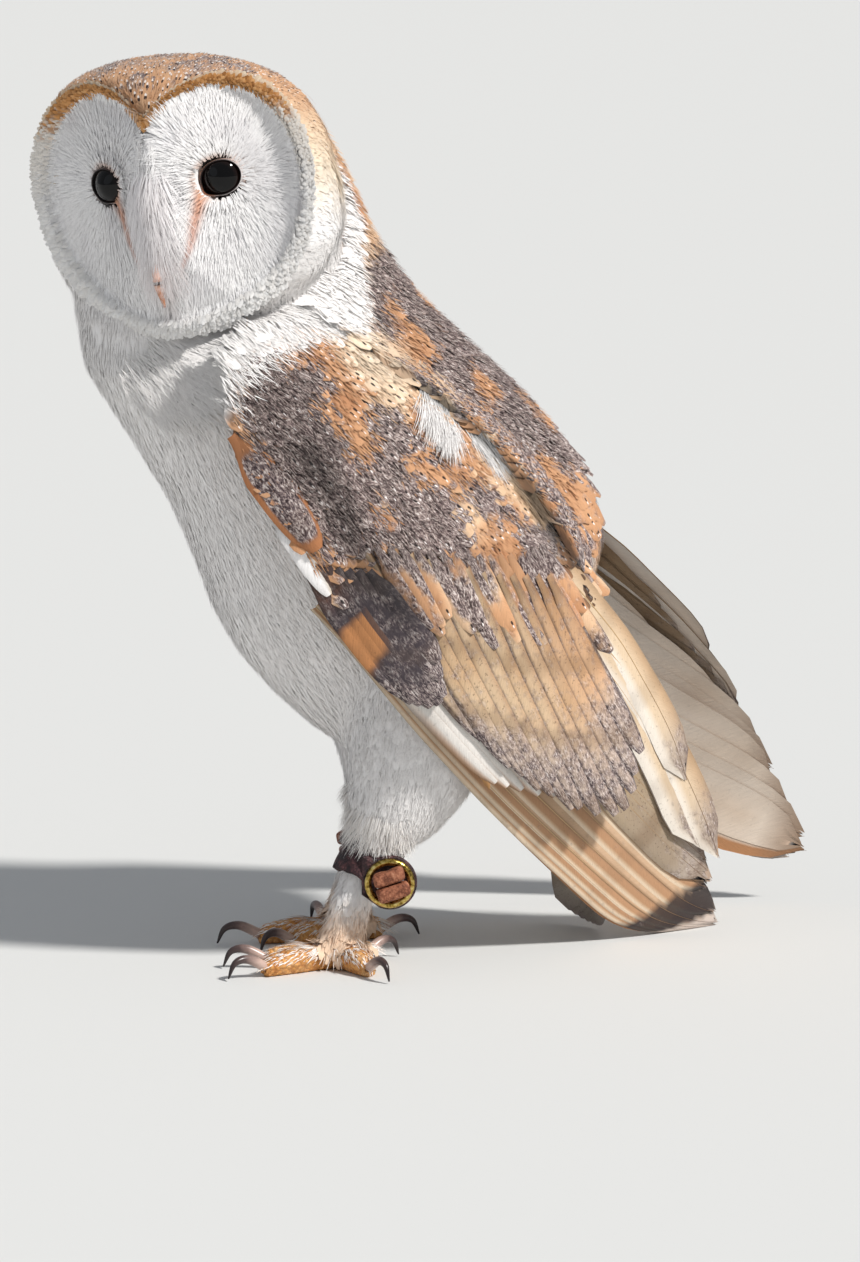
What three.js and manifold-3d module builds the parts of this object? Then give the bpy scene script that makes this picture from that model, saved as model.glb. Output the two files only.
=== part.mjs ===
// A life-size barn owl standing on the floor, its head turned to its left, its right wing held further back.
// Millimetres, +Z up. The owl faces -Y, so its left side is at +X.
import * as THREE from "three";
import { mergeVertices } from "three/addons/utils/BufferGeometryUtils.js";
import Module from "manifold-3d";

const wasm = await Module();
wasm.setup();

// ---- driving dimensions ----
const gap = 0.35; // between neighbouring pieces
const discHalfWidth = 49; // of the facial disc
const eyeSpacing = 41.5; // centre to centre
const eyeRadius = 8.4; // of the eyeball
const wingLength = 276; // wrist to tip of the folded wing
const armLength = 150; // how much of it the coverts hide
const toeRadius = 4.2;
const tarsusRadius = 6.6; // with its short feathers
const legApart = 21; // each foot from the midline
const rightFootBack = 20; // the right foot stands this far behind the left
const grommetRadius = 7.7; // of the brass ring in each anklet, outside
const flapRadius = 9.3; // of the flap that holds it
const flapThick = 2.6; // two layers of leather
const flapTurn = 66; // of the flap, from the crosswise plane
const tipLay = 14; // feathers lower than this bend to lie along the floor

const colours = {
  white: 0xf1eee8,
  cream: 0xe9dcc4,
  gold: 0xc98f4e,
  toe: 0xcf9b74,
  horn: 0x4b4240,
  bill: 0xd9b7a4,
  eye: 0x0c0a0c,
  leather: 0x5a3a31,
  tan: 0xa5654a,
  brass: 0xb59a4a,
};

function finish(colour, roughness = 0.85, metalness = 0) {
  return new THREE.MeshStandardMaterial({ color: colours[colour], roughness, metalness });
}

// ---- small tools ----
const lerp = THREE.MathUtils.lerp;
const clamp = THREE.MathUtils.clamp;
const radians = THREE.MathUtils.degToRad;
const point = (x, y, z) => new THREE.Vector3(x, y, z);

// A smooth curve through the values that the stations give for one of their keys, read at any place along them.
function reader(stations, key) {
  const places = stations.map((s) => s.at);
  const values = stations.map((s) => s[key]);
  const last = places.length - 1;
  const slope = (i) => {
    const [a, b] = [Math.max(i - 1, 0), Math.min(i + 1, last)];
    return (values[b] - values[a]) / (places[b] - places[a]);
  };
  return (at) => {
    const x = clamp(at, places[0], places[last]);
    const next = places.findIndex((p) => p > x);
    const k = next < 0 ? last - 1 : next - 1;
    const run = places[k + 1] - places[k];
    const t = (x - places[k]) / run;
    const [t2, t3] = [t * t, t * t * t];
    const held = (2 * t3 - 3 * t2 + 1) * values[k] + (3 * t2 - 2 * t3) * values[k + 1];
    return held + (t3 - 2 * t2 + t) * run * slope(k) + (t3 - t2) * run * slope(k + 1);
  };
}

const readers = (stations, ...keys) => Object.fromEntries(keys.map((k) => [k, reader(stations, k)]));

// A closed skin over rings of points, with a fan at each end.
function skinOver(rings) {
  const count = rings[0].length;
  const middle = (ring) => ring.reduce((sum, p) => sum.add(p), point(0, 0, 0)).divideScalar(ring.length);
  const points = [...rings.flat(), middle(rings[0]), middle(rings.at(-1))];
  const faces = [];
  for (let i = 0; i + 1 < rings.length; i++) {
    for (let j = 0; j < count; j++) {
      const a = i * count + j;
      const b = i * count + ((j + 1) % count);
      faces.push(a, b, b + count, a, b + count, a + count);
    }
  }
  const first = rings.length * count;
  const last = (rings.length - 1) * count;
  for (let j = 0; j < count; j++) {
    faces.push(first, (j + 1) % count, j);
    faces.push(first + 1, last + j, last + ((j + 1) % count));
  }
  return solidOf(new THREE.BufferGeometry().setFromPoints(points).setIndex(faces));
}

// A geometry as a manifold solid. One that comes out inside out is turned round.
function solidOf(geometry, tolerance = 1e-4) {
  const bare = new THREE.BufferGeometry().setAttribute("position", geometry.getAttribute("position"));
  if (geometry.index) bare.setIndex(geometry.index);
  const merged = mergeVertices(bare, tolerance);
  const vertProperties = merged.attributes.position.array;
  const build = (triVerts) => new wasm.Manifold(new wasm.Mesh({ numProp: 3, vertProperties, triVerts }));
  const faces = new Uint32Array(merged.index.array);
  const made = build(faces);
  if (made.volume() > 0) return made;
  for (let i = 0; i < faces.length; i += 3) [faces[i + 1], faces[i + 2]] = [faces[i + 2], faces[i + 1]];
  return build(faces);
}

function geometryOf(solid) {
  const mesh = solid.getMesh();
  const places = new Float32Array(mesh.numVert * 3);
  for (let i = 0; i < mesh.numVert; i++) {
    places.set(mesh.vertProperties.subarray(i * mesh.numProp, i * mesh.numProp + 3), i * 3);
  }
  const geometry = new THREE.BufferGeometry();
  geometry.setAttribute("position", new THREE.BufferAttribute(places, 3));
  geometry.setIndex(new THREE.BufferAttribute(mesh.triVerts, 1));
  geometry.computeVertexNormals();
  return geometry;
}

// The solid with its skin moved out along its normals, to cut a neighbour clear of it.
function grown(solid, by) {
  const geometry = geometryOf(solid);
  const places = geometry.getAttribute("position");
  const normals = geometry.getAttribute("normal");
  const p = point(0, 0, 0);
  const n = point(0, 0, 0);
  for (let i = 0; i < places.count; i++) {
    p.fromBufferAttribute(places, i).addScaledVector(n.fromBufferAttribute(normals, i), by);
    places.setXYZ(i, p.x, p.y, p.z);
  }
  return solidOf(geometry);
}

const largest = (solid) => solid.decompose().sort((a, b) => b.volume() - a.volume())[0];
const union = (solids) => solids.reduce((sum, solid) => sum.add(solid));

// A box from one corner to the other.
function block(low, high) {
  const size = high.clone().sub(low);
  const middle = low.clone().add(high).multiplyScalar(0.5);
  return solidOf(new THREE.BoxGeometry(size.x, size.y, size.z).translate(middle.x, middle.y, middle.z));
}

// A bar along a path with its own radius at each point, `flat` times as wide as it is deep.
function limb(path, radii, { sides = 12, flat = 1, steps = (path.length - 1) * 3, up = point(0, 0, 1) } = {}) {
  const curve = new THREE.CatmullRomCurve3(path);
  const radius = reader(radii.map((r, i) => ({ at: i / (radii.length - 1), r })), "r");
  const rings = [];
  for (let i = 0; i <= steps; i++) {
    const t = i / steps;
    const side = curve.getTangent(t).cross(up).normalize();
    const over = side.clone().cross(curve.getTangent(t)).normalize();
    const ring = [];
    for (let j = 0; j < sides; j++) {
      const angle = (j / sides) * 2 * Math.PI;
      const p = curve.getPoint(t).addScaledVector(side, Math.cos(angle) * radius(t) * flat);
      ring.push(p.addScaledVector(over, Math.sin(angle) * radius(t)));
    }
    rings.push(ring);
  }
  return skinOver(rings);
}

// ---- placing: each piece is cut clear of those placed before it ----
const owl = new THREE.Group();
const placed = new Map();
const floor = block(point(-400, -400, -200), point(400, 400, 0));

function near(one, other) {
  const [a, b] = [one.boundingBox(), other.boundingBox()];
  return [0, 1, 2].every((k) => a.min[k] < b.max[k] + gap && b.min[k] < a.max[k] + gap);
}

function place(name, solid, group, material) {
  group.updateWorldMatrix(true, false);
  let world = solid.transform(group.matrixWorld.elements).simplify(0.12).subtract(floor);
  for (const other of placed.values()) {
    if (near(world, other)) world = world.subtract(grown(other, gap));
    if (near(world, other) && world.intersect(other).volume() > 1e-5) world = world.subtract(other);
  }
  world = largest(solidOf(geometryOf(largest(world)), 1e-3));
  placed.set(name, world);
  const back = group.matrixWorld.clone().invert();
  const mesh = new THREE.Mesh(geometryOf(world.transform(back.elements)), material);
  mesh.name = name;
  group.add(mesh);
}

function frameAt(parent, position, turns = [0, 0, 0]) {
  const group = new THREE.Group();
  group.position.copy(position);
  group.rotation.set(...turns.map(radians), "ZXY");
  parent.add(group);
  return group;
}

// ---- head: in its own frame the owl looks along -Y, and the eyes are level with its origin ----
const headPlace = point(24.5, -63, 265);
const headTurns = [4, -6.3, 41.5]; // nod, tilt and turn
const ridgeFront = 12; // how far the ridge between the eyes stands before them
const ballMiddle = 28; // how far the middle of the skull lies behind the eyes
const ballHalf = { side: 48.5, lowSide: 54, top: 39, throat: 47, back: 43 };
const ballShift = 3.5; // the turned neck pushes the plumage to the owl's right
const discSlope = 0.42; // how fast each half of the disc falls back from the ridge
const rimRaise = 2.2;

// Half of the disc's outline, from the notch over the bill round to the chin.
const discOutline = [
  [0, 26],
  [13, 31],
  [27, 33],
  [40, 25],
  [discHalfWidth, 6],
  [discHalfWidth - 1, -10],
  [42, -26],
  [29, -39],
  [14, -46],
  [0, -47.5],
];

function discRim(count) {
  const half = discOutline.map(([x, z]) => point(x, 0, z));
  const other = half.slice(1, -1).reverse().map((p) => point(-p.x, 0, p.z));
  return new THREE.CatmullRomCurve3([...half, ...other], true, "centripetal").getPoints(count).slice(0, count);
}

// How far before the eyes the disc's surface lies at a place on it.
function discForward(x, z) {
  const side = Math.sqrt(x * x + 16) - 4;
  const leanBack = 8 * ((z + 8) / 40) ** 2;
  const dish = 4.5 * Math.max(0, 1 - ((side - 26) / 23) ** 2 - ((z + 6) / 36) ** 2);
  const eyeDent = 1.6 * Math.exp(-(((side - eyeSpacing / 2 + 2.5) / 8) ** 2) - (z / 8) ** 2);
  return ridgeFront - discSlope * side - leanBack - dish - eyeDent;
}

function headSolid() {
  const rim = discRim(24);
  const rings = [];
  // The skull with its plumage is round above and squarer below, where it runs into the neck.
  const skullRing = (size, y) =>
    rim.map((p) => {
      const angle = Math.atan2(p.z + 4, p.x);
      const tall = p.z > -4 ? ballHalf.top + 4 : ballHalf.throat - 4;
      const [c, s] = [Math.cos(angle), Math.sin(angle)];
      const power = p.z > -4 ? 2.6 : 2.8;
      const square = size / (Math.abs(c) ** power + Math.abs(s) ** power) ** (1 / power);
      const wide = lerp(ballHalf.side, ballHalf.lowSide, clamp(-s * 1.6, 0, 1));
      const z = s * tall * square - 4;
      return point(c * wide * square - size * (ballShift + 0.13 * Math.max(0, z)), y, z);
    });
  for (const turn of [10, 34, 60, 90]) {
    const y = ballMiddle + ballHalf.back * Math.cos(radians(turn));
    rings.push(skullRing(Math.sin(radians(turn)), y));
  }
  for (const turn of [27, 53, 90]) {
    const toRim = (1 - Math.cos(radians(turn))) ** 1.4;
    const widest = skullRing(1, ballMiddle);
    rings.push(
      rim.map((p, i) => {
        const shape = widest[i].lerp(p, toRim);
        shape.y = lerp(ballMiddle, -discForward(p.x, p.z) - rimRaise, Math.sin(radians(turn)));
        return shape;
      }),
    );
  }
  for (const inward of [0.96, 0.9, 0.72, 0.5, 0.28, 0.06]) {
    const lip = clamp((inward - 0.9) / 0.06, 0, 1);
    rings.push(
      rim.map((p) => {
        const [x, z] = [p.x * inward, (p.z + 6) * inward - 6];
        return point(x, -discForward(x, z) - rimRaise * lip, z);
      }),
    );
  }
  return skinOver(rings);
}

const head = frameAt(owl, headPlace, headTurns);
for (const [name, side] of [["eye_l", 1], ["eye_r", -1]]) {
  const x = (side * eyeSpacing) / 2;
  const centre = point(x, -discForward(x, 0), 0).addScaledVector(point(side * 0.34, -1, 0).normalize(), -6);
  const ball = new THREE.SphereGeometry(eyeRadius, 12, 8).rotateX(Math.PI / 2);
  place(name, solidOf(ball.translate(centre.x, centre.y, centre.z)), head, finish("eye", 0.08));
}

// The bill hooks down from under the ridge.
const upperBill = [point(0, -1, -15), point(0, -9.5, -21), point(0, -14, -29), point(0, -11, -38)];
const lowerBill = [point(0, 2, -23), point(0, -5, -29), point(0, -8.5, -34)];
place("bill_upper", limb(upperBill, [5.6, 4.8, 3.4, 0.7], { sides: 10, flat: 0.85 }), head, finish("bill", 0.5));
place("bill_lower", limb(lowerBill, [3.6, 3, 1], { sides: 8 }), head, finish("bill", 0.5));
place("head", headSolid(), head, finish("white"));

// ---- wings ----
// Along a folded wing from its wrist: its lower and upper edge and its thickness at the arm's coverts.
const armStations = [
  { at: -24, low: 14, high: 28, thick: 3 },
  { at: -12, low: 5, high: 41, thick: 9 },
  { at: 8, low: -4, high: 51, thick: 13 },
  { at: 40, low: -12, high: 56, thick: 14.5 },
  { at: 80, low: -20, high: 59, thick: 13.5 },
  { at: 115, low: -25, high: 61, thick: 10.5 },
  { at: armLength, low: -25.5, high: 55, thick: 6.5 },
];
// How each wing is held: where its wrist and its tip are, its distance from the midline on the way from one to the
// other, and how far its upper edge leans in over the back.
const wingHolds = [
  {
    name: "l",
    side: 1,
    lean: 10,
    wrist: point(0, -46, 184),
    tip: point(0, 147, -13),
    out: [46, 53, 56, 54, 47, 36, 23, 12],
  },
  {
    name: "r",
    side: -1,
    lean: 20,
    wrist: point(0, -33, 180),
    tip: point(0, 197, 17),
    out: [48, 55, 58, 57, 52, 44, 34, 25],
  },
];
// Flight feathers as root and tip across the wing at their place along it, and their half width.
const primaries = [
  { root: -17, bend: [-14.5, -9], reach: 276, tip: -3, half: 8 },
  { root: -9, bend: [-6, -2], reach: 274, tip: 3, half: 8.5 },
  { root: -1, bend: [2, 6], reach: 267, tip: 9, half: 9 },
  { root: 6, bend: [8, 11], reach: 258, tip: 14, half: 9 },
];
const secondaries = [
  { root: 14, bend: [15, 17], reach: 252, tip: 21, half: 9.5 },
  { root: 24, bend: [24, 25], reach: 238, tip: 28, half: 9.5 },
  { root: 35, bend: [34, 33], reach: 215, tip: 34, half: 9.5 },
  { root: 46, bend: [44, 42], reach: 188, tip: 40, half: 9.5 },
];

// A place on a wing, from how far it lies along, across and out of it. The wing curls round the body.
function wingMap(hold) {
  const out = reader(hold.out.map((x, i) => ({ at: (i * wingLength) / 7, x })), "x");
  const axis = hold.tip.clone().sub(hold.wrist).normalize();
  const upper = point(0, -axis.z, axis.y);
  return (along, across, outward) => {
    const curl = lerp(110, 260, clamp((along - 90) / 190, 0, 1) ** 2);
    const lean = radians(hold.lean) * clamp((along - 50) / 100, 0, 1);
    const angle = across / curl + lean;
    const p = hold.wrist.clone().addScaledVector(axis, along);
    p.addScaledVector(upper, Math.sin(angle) * (curl + outward) - Math.sin(lean) * curl);
    p.x = out(along) + Math.cos(angle) * (curl + outward) - Math.cos(lean) * curl;
    if (p.z < tipLay) p.z = p.z < -tipLay ? 0 : (p.z + tipLay) ** 2 / (4 * tipLay);
    p.x *= hold.side;
    return p;
  };
}

function armSolid(map) {
  const read = readers(armStations, "low", "high", "thick");
  const rings = [];
  for (let i = 0; i <= 11; i++) {
    const at = lerp(-24, armLength, i / 11);
    const outer = [];
    const inner = [];
    for (let j = 0; j <= 7; j++) {
      const across = lerp(read.low(at), read.high(at), j / 7);
      const depth = read.thick(at) * (0.2 + 0.8 * Math.sqrt(1 - (j / 3.5 - 1) ** 2));
      outer.push(map(at, across, depth * 0.3));
      inner.push(map(at, across, -depth * 0.7));
    }
    rings.push([...outer, ...inner.reverse()]);
  }
  return skinOver(rings);
}

function vaneSolid(map, vane, depth) {
  const across = reader([
    { at: armLength, x: vane.root },
    { at: lerp(armLength, vane.reach, 0.4), x: vane.bend[0] },
    { at: lerp(armLength, vane.reach, 0.75), x: vane.bend[1] },
    { at: vane.reach, x: vane.tip },
  ], "x");
  const rings = [0, 0.34, 0.66, 0.86, 0.96, 1].map((t) => {
    const at = lerp(armLength + gap, vane.reach, t);
    const half = vane.half * Math.sqrt(Math.max(0.01, 1 - Math.max(0, (t - 0.6) / 0.4) ** 2.4));
    const thick = lerp(2.6, 1.1, t);
    const middle = across(at);
    return [
      map(at, middle - half, depth),
      map(at, middle, depth + thick * 0.5),
      map(at, middle + half, depth),
      map(at, middle, depth - thick * 0.5),
    ];
  });
  return skinOver(rings);
}

for (const hold of wingHolds) {
  const map = wingMap(hold);
  const fan = (vanes, depth, step) => union(vanes.map((vane, i) => vaneSolid(map, vane, depth + i * step)));
  place(`wing_${hold.name}`, armSolid(map), owl, finish("gold"));
  place(`secondaries_${hold.name}`, fan(secondaries, -1.2, 0.45), owl, finish("cream"));
  place(`primaries_${hold.name}`, fan(primaries, -7, 0.45), owl, finish("cream"));
}

// ---- neck and trunk: one tube of oval sections, parted by a thin cut ----
// Each section: its breast point and its back point as (y, z), how far its middle lies to the left, and its half
// width.
const bodyStations = [
  { at: 0, fy: -48, fz: 272, by: -4, bz: 286, x: -4, wide: 26 },
  { at: 1, fy: -70, fz: 240, by: 13, bz: 264, x: -11, wide: 37 },
  { at: 2, fy: -83, fz: 212, by: 27, bz: 232, x: -7, wide: 41 },
  { at: 3, fy: -71, fz: 187, by: 47, bz: 211, x: -2, wide: 42 },
  { at: 4, fy: -54, fz: 160, by: 70, bz: 190, x: 0, wide: 42.5 },
  { at: 5, fy: -43, fz: 136, by: 88, bz: 171, x: 0, wide: 41.5 },
  { at: 6, fy: -35, fz: 115, by: 104, bz: 151, x: 0, wide: 38 },
  { at: 7, fy: -23, fz: 97, by: 106, bz: 130, x: 0, wide: 34 },
  { at: 8, fy: -6, fz: 81, by: 95, bz: 107, x: 0, wide: 28 },
  { at: 9, fy: 9, fz: 69, by: 84, bz: 89, x: 0, wide: 20 },
  { at: 10, fy: 32, fz: 62, by: 66, bz: 78, x: 0, wide: 7 },
];

function bodyTube() {
  const around = 18;
  const read = readers(bodyStations, "fy", "fz", "by", "bz", "x", "wide");
  const rings = [];
  for (let at = 0; at <= 10; at += 10 / 12) {
    const front = point(0, read.fy(at), read.fz(at));
    const rear = point(0, read.by(at), read.bz(at));
    const ring = [];
    for (let j = 0; j < around; j++) {
      const angle = (j / around) * 2 * Math.PI;
      const p = front.clone().lerp(rear, 0.5 + 0.5 * Math.sin(angle));
      p.x = read.x(at) + Math.cos(angle) * read.wide(at);
      ring.push(p);
    }
    rings.push(ring);
  }
  return skinOver(rings);
}

// Everything above (sign 1) or below (-1) a plane that rises to the owl's rear by `lean` degrees.
function beyond(centre, lean, sign) {
  const reach = 250;
  const low = point(-reach, -reach, sign > 0 ? 0 : -reach);
  const high = point(reach, reach, sign > 0 ? reach : 0);
  const turn = new THREE.Matrix4().makeRotationX(radians(lean)).setPosition(centre);
  return block(low, high).transform(turn.elements);
}

const neckCut = point(0, -20, 210);
const neckLean = 9;
const body = bodyTube();
place("neck", body.intersect(beyond(neckCut.clone().setZ(neckCut.z + gap), neckLean, 1)), owl, finish("white"));
place("trunk", body.intersect(beyond(neckCut, neckLean, -1)), owl, finish("white"));

// ---- tail ----
const tailStations = [
  { at: 0, y: 62, z: 112, wide: 15, thick: 8 },
  { at: 1, y: 80, z: 80, wide: 18, thick: 6 },
  { at: 2, y: 95, z: 48, wide: 21, thick: 4 },
  { at: 3, y: 103, z: 18, wide: 20, thick: 2.4 },
  { at: 4, y: 105, z: 1.5, wide: 12, thick: 1.2 },
];

function tailSolid() {
  const read = readers(tailStations, "y", "z", "wide", "thick");
  const rings = [];
  for (let at = 0; at <= 4; at += 0.5) {
    const ring = [];
    for (let j = 0; j < 12; j++) {
      const angle = (j / 12) * 2 * Math.PI;
      const x = Math.cos(angle) * read.wide(at);
      ring.push(point(x - 3, read.y(at) + Math.sin(angle) * read.thick(at) * 0.5 - (x * x) / 90, read.z(at)));
    }
    rings.push(ring);
  }
  return skinOver(rings);
}

place("tail", tailSolid(), owl, finish("cream"));

// ---- legs: thigh, feathered tarsus, foot and claws, anklet with its grommet and jess button ----
const legs = [
  { name: "l", side: 1, y: 0, toesTurn: 4 },
  { name: "r", side: -1, y: rightFootBack, toesTurn: 2 },
];
// In a foot's frame its toes turn from straight ahead to its outer side.
const toes = [
  { name: "inner", turn: -22, length: 27, claw: 1 },
  { name: "middle", turn: 7, length: 32, claw: 1.05 },
  { name: "outer", turn: 92, length: 23, claw: 0.95 },
  { name: "hind", turn: 192, length: 15, claw: 0.95 },
];
const toeRadii = [1.2, 1.04, 1.12, 0.96, 0.7].map((r) => r * toeRadius);
const heading = (turn) => point(Math.sin(radians(turn)), -Math.cos(radians(turn)), 0);

function toeSolid(toe) {
  const path = toeRadii.map((r, i) => heading(toe.turn).multiplyScalar((toe.length * i) / 4).setZ(r - 0.5));
  return limb(path, toeRadii, { sides: 6, steps: 4 });
}

function clawSolid(toe) {
  const path = [-2.5, 4, 9, 11.5].map((out, i) =>
    heading(toe.turn).multiplyScalar(toe.length + out * toe.claw).setZ([3.4, 6.6, 5.8, 0.9][i]),
  );
  return limb(path, [1.8, 1.6, 1.1, 0.32], { sides: 5, steps: 5 });
}

// The flap of an anklet: a round end with a hole, and a root that runs into the cuff.
function flapGeometry() {
  const rim = (radius, turn) => new THREE.Vector2(radius * Math.cos(turn), radius * Math.sin(turn));
  const roundEnd = [...Array(8).keys()].map((i) => rim(flapRadius, radians(75 - (200 * i) / 7)));
  const outline = new THREE.Shape([new THREE.Vector2(-9.5, 11.5), ...roundEnd, new THREE.Vector2(-9.5, -3)]);
  outline.holes.push(new THREE.Path([...Array(10).keys()].map((i) => rim(4.7, (i / 5) * Math.PI))));
  return new THREE.ExtrudeGeometry(outline, { depth: flapThick, bevelEnabled: false }).translate(0, 0, -flapThick / 2);
}

for (const leg of legs) {
  const foot = frameAt(owl, point(leg.side * legApart, leg.y, 0), [0, 0, leg.toesTurn * leg.side]);
  foot.scale.x = leg.side;
  for (const toe of toes) {
    place(`claw_${leg.name}_${toe.name}`, clawSolid(toe), foot, finish("horn", 0.35));
  }
  const palm = limb([point(0, 4, 6.4), point(0, -4.5, 5.6)], [7, 6], { sides: 8, steps: 2 });
  place(`foot_${leg.name}`, union([palm, ...toes.map(toeSolid)]), foot, finish("toe"));

  const at = (x, y, z) => point(leg.side * x, leg.y * clamp((112 - z) / 68, 0, 1) + y, z);
  const upLeg = { sides: 14, up: point(1, 0, 0) };
  const thighPath = [at(19, 36, 100), at(20, 30, 76), at(21, 23, 58), at(legApart, 14.6, 44.5)];
  const [middle, flank] = [gap / 2, 200].map((x) => leg.side * x).sort((a, b) => a - b);
  const ownHalf = block(point(middle, -200, 0), point(flank, 200, 400));
  const thigh = limb(thighPath, [28, 26, 20.8, 13.8], { ...upLeg, steps: 5 }).intersect(ownHalf);
  place(`thigh_${leg.name}`, thigh, owl, finish("white"));
  const tarsusPath = [at(legApart, 17, 48), at(legApart, 10.5, 34), at(legApart, 4, 20), at(legApart, 1.5, 9)];
  const tarsus = limb(tarsusPath, [tarsusRadius, tarsusRadius, tarsusRadius, 7.4], { ...upLeg, sides: 8, steps: 3 });
  place(`tarsus_${leg.name}`, tarsus, owl, finish("white"));
  // The anklet's ends meet in a flap at the outer side. A grommet rims its hole, and the folded jess sits in that.
  const fittings = frameAt(owl, point(leg.side * legApart, leg.y, 0));
  fittings.scale.x = leg.side;
  const cuffPath = [point(0, 14.8, 43.8), point(0, 11.5, 36), point(0, 8.2, 29)];
  const cuff = limb(cuffPath, [9.6, 8.8, 9.2], { ...upLeg, sides: 10, steps: 2 });
  const eyelet = frameAt(fittings, point(12, 13.3, 29.6), [0, 0, flapTurn]);
  const outward = (geometry) => solidOf(geometry.rotateX(Math.PI / 2), 1e-3);
  eyelet.updateWorldMatrix(true, false);
  fittings.updateWorldMatrix(true, false);
  const toCuff = fittings.matrixWorld.clone().invert().multiply(eyelet.matrixWorld);
  const flap = outward(flapGeometry()).transform(toCuff.elements);
  place(`anklet_${leg.name}`, cuff.add(flap), fittings, finish("leather", 0.7));
  const rim = outward(new THREE.TorusGeometry(grommetRadius - 1.3, 1.3, 5, 12).translate(0, 0, flapThick / 2 + 0.4));
  place(`grommet_${leg.name}`, rim, eyelet, finish("brass", 0.4, 1));
  const fold = (up) => limb([point(-5.2, -7.2, up + 0.8), point(6.6, -7.2, up - 0.8)], [3.5, 3.5], { sides: 7, steps: 1 });
  const stem = limb([point(0, -6, -0.6), point(0, 3.4, 0)], [3.6, 3.6], { sides: 6, steps: 1 });
  place(`jess_button_${leg.name}`, union([fold(1.6), fold(-4.4), stem]), eyelet, finish("tan", 0.7));
}

// The part's origin is under the middle of its bounding box, on the floor.
const box = new THREE.Box3().setFromObject(owl, true);
owl.position.set(-(box.min.x + box.max.x) / 2, -(box.min.y + box.max.y) / 2, -box.min.z);

export default owl;
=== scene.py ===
import math
from functools import partial

import bmesh
import bpy
import numpy as np
from mathutils import Matrix, Vector
from mathutils.bvhtree import BVHTree


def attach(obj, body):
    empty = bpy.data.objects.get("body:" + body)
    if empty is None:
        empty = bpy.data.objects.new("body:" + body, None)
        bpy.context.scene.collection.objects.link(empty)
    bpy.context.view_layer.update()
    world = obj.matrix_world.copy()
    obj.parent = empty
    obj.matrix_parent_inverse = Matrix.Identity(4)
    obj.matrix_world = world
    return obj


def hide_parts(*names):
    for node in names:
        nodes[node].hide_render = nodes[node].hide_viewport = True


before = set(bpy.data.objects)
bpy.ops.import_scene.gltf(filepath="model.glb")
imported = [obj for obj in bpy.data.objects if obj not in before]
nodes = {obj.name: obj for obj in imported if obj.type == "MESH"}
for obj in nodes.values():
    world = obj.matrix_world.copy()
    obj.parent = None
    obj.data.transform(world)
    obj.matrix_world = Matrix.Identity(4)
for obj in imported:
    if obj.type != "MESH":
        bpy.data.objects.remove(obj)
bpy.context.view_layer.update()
rng = np.random.default_rng(7)
share = 1.0

# The owl is laid out in millimetres: it faces -Y, its left
# side is at +X, and this is where it stands in the frame.
standing = np.array([1.2927, -50.442, 0.0])


# Colours of the plumage in daylight, the same on the skin and on the feathers over it.
plumes = dict(
    white="F8F5F3",
    cream="EFDDC4",
    gold="CE9C74",
    deepGold="AE744C",
    paleGold="E4C4A2",
    paleBuff="EBD3AD",
    slate="4C4348",
)


# A colour in linear light, from its name or its hexadecimal value.
def linear(text):
    text = plumes.get(text, text)
    c = np.array([int(text[i : i + 2], 16) / 255 for i in (0, 2, 4)])
    return np.where(c <= 0.04045, c / 12.92, ((c + 0.055) / 1.055) ** 2.4)


def unit(v):
    return v / (np.linalg.norm(v, axis=-1, keepdims=True) + 1e-12)


def smooth(low, high, x):
    t = np.clip((x - low) / (high - low), 0, 1)
    return t * t * (3 - 2 * t)


def mix(a, b, t):
    a, b = [linear(c) if isinstance(c, str) else np.asarray(c) for c in (a, b)]
    t = np.asarray(t)[..., None]
    return a * (1 - t) + b * t


# Soft noise from 0 to 1, with blots about `size` mm across.
def cloud(p, size, seed):
    q = np.atleast_2d(np.asarray(p, float)) / size + seed * 17.31
    cell = np.floor(q).astype(np.int64)
    f = q - cell
    f = f * f * (3 - 2 * f)
    total = np.zeros(q.shape[:-1])
    for corner in range(8):
        step = np.array([corner & 1, corner >> 1 & 1, corner >> 2])
        c = cell + step
        h = c[..., 0] * 73856093 ^ c[..., 1] * 19349663 ^ c[..., 2] * 83492791 ^ seed * 2654435
        h = (h ^ (h >> 13)) * 1274126177 & 0x7FFFFFFF
        h = (h ^ (h >> 16)) & 0xFFFF
        total += h / 65535 * np.prod(np.where(step, f, 1 - f), axis=-1)
    return total if np.ndim(p) > 1 else total[0]


# A smooth curve through values at places along something.
def reader(places, values):
    places = np.array(places, float)
    values = np.array(values, float)
    last = len(places) - 1
    ends = [(max(i - 1, 0), min(i + 1, last)) for i in range(last + 1)]
    slopes = np.array([(values[b] - values[a]) / (places[b] - places[a]) for a, b in ends])

    def read(at):
        x = np.clip(at, places[0], places[-1])
        k = np.clip(np.searchsorted(places, x, side="right") - 1, 0, last - 1)
        run = places[k + 1] - places[k]
        t = (x - places[k]) / run
        if values.ndim > 1:
            run, t = run[..., None], t[..., None]
        held = (2 * t**3 - 3 * t**2 + 1) * values[k] + (3 * t**2 - 2 * t**3) * values[k + 1]
        return held + (t**3 - 2 * t**2 + t) * run * slopes[k] + (t**3 - t**2) * run * slopes[k + 1]

    return read


def evenly(values):
    return reader(np.linspace(0, 1, len(values)), values)


# The head: where it sits and how it is turned, in degrees.
turns = [math.radians(a) for a in (4, -6.3, 41.5)]
headPlace = np.array([24.5, -63, 265])


def turnMatrix(axis, angle):
    c, s = math.cos(angle), math.sin(angle)
    i, j = [(1, 2), (2, 0), (0, 1)][axis]
    m = np.eye(3)
    m[i, i] = m[j, j] = c
    m[i, j], m[j, i] = -s, s
    return m


headTurn = turnMatrix(2, turns[2]) @ turnMatrix(0, turns[0]) @ turnMatrix(1, turns[1])


def fromHead(p):
    return np.asarray(p) @ headTurn.T + headPlace


def toHead(p):
    return (np.asarray(p) - headPlace) @ headTurn


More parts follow.
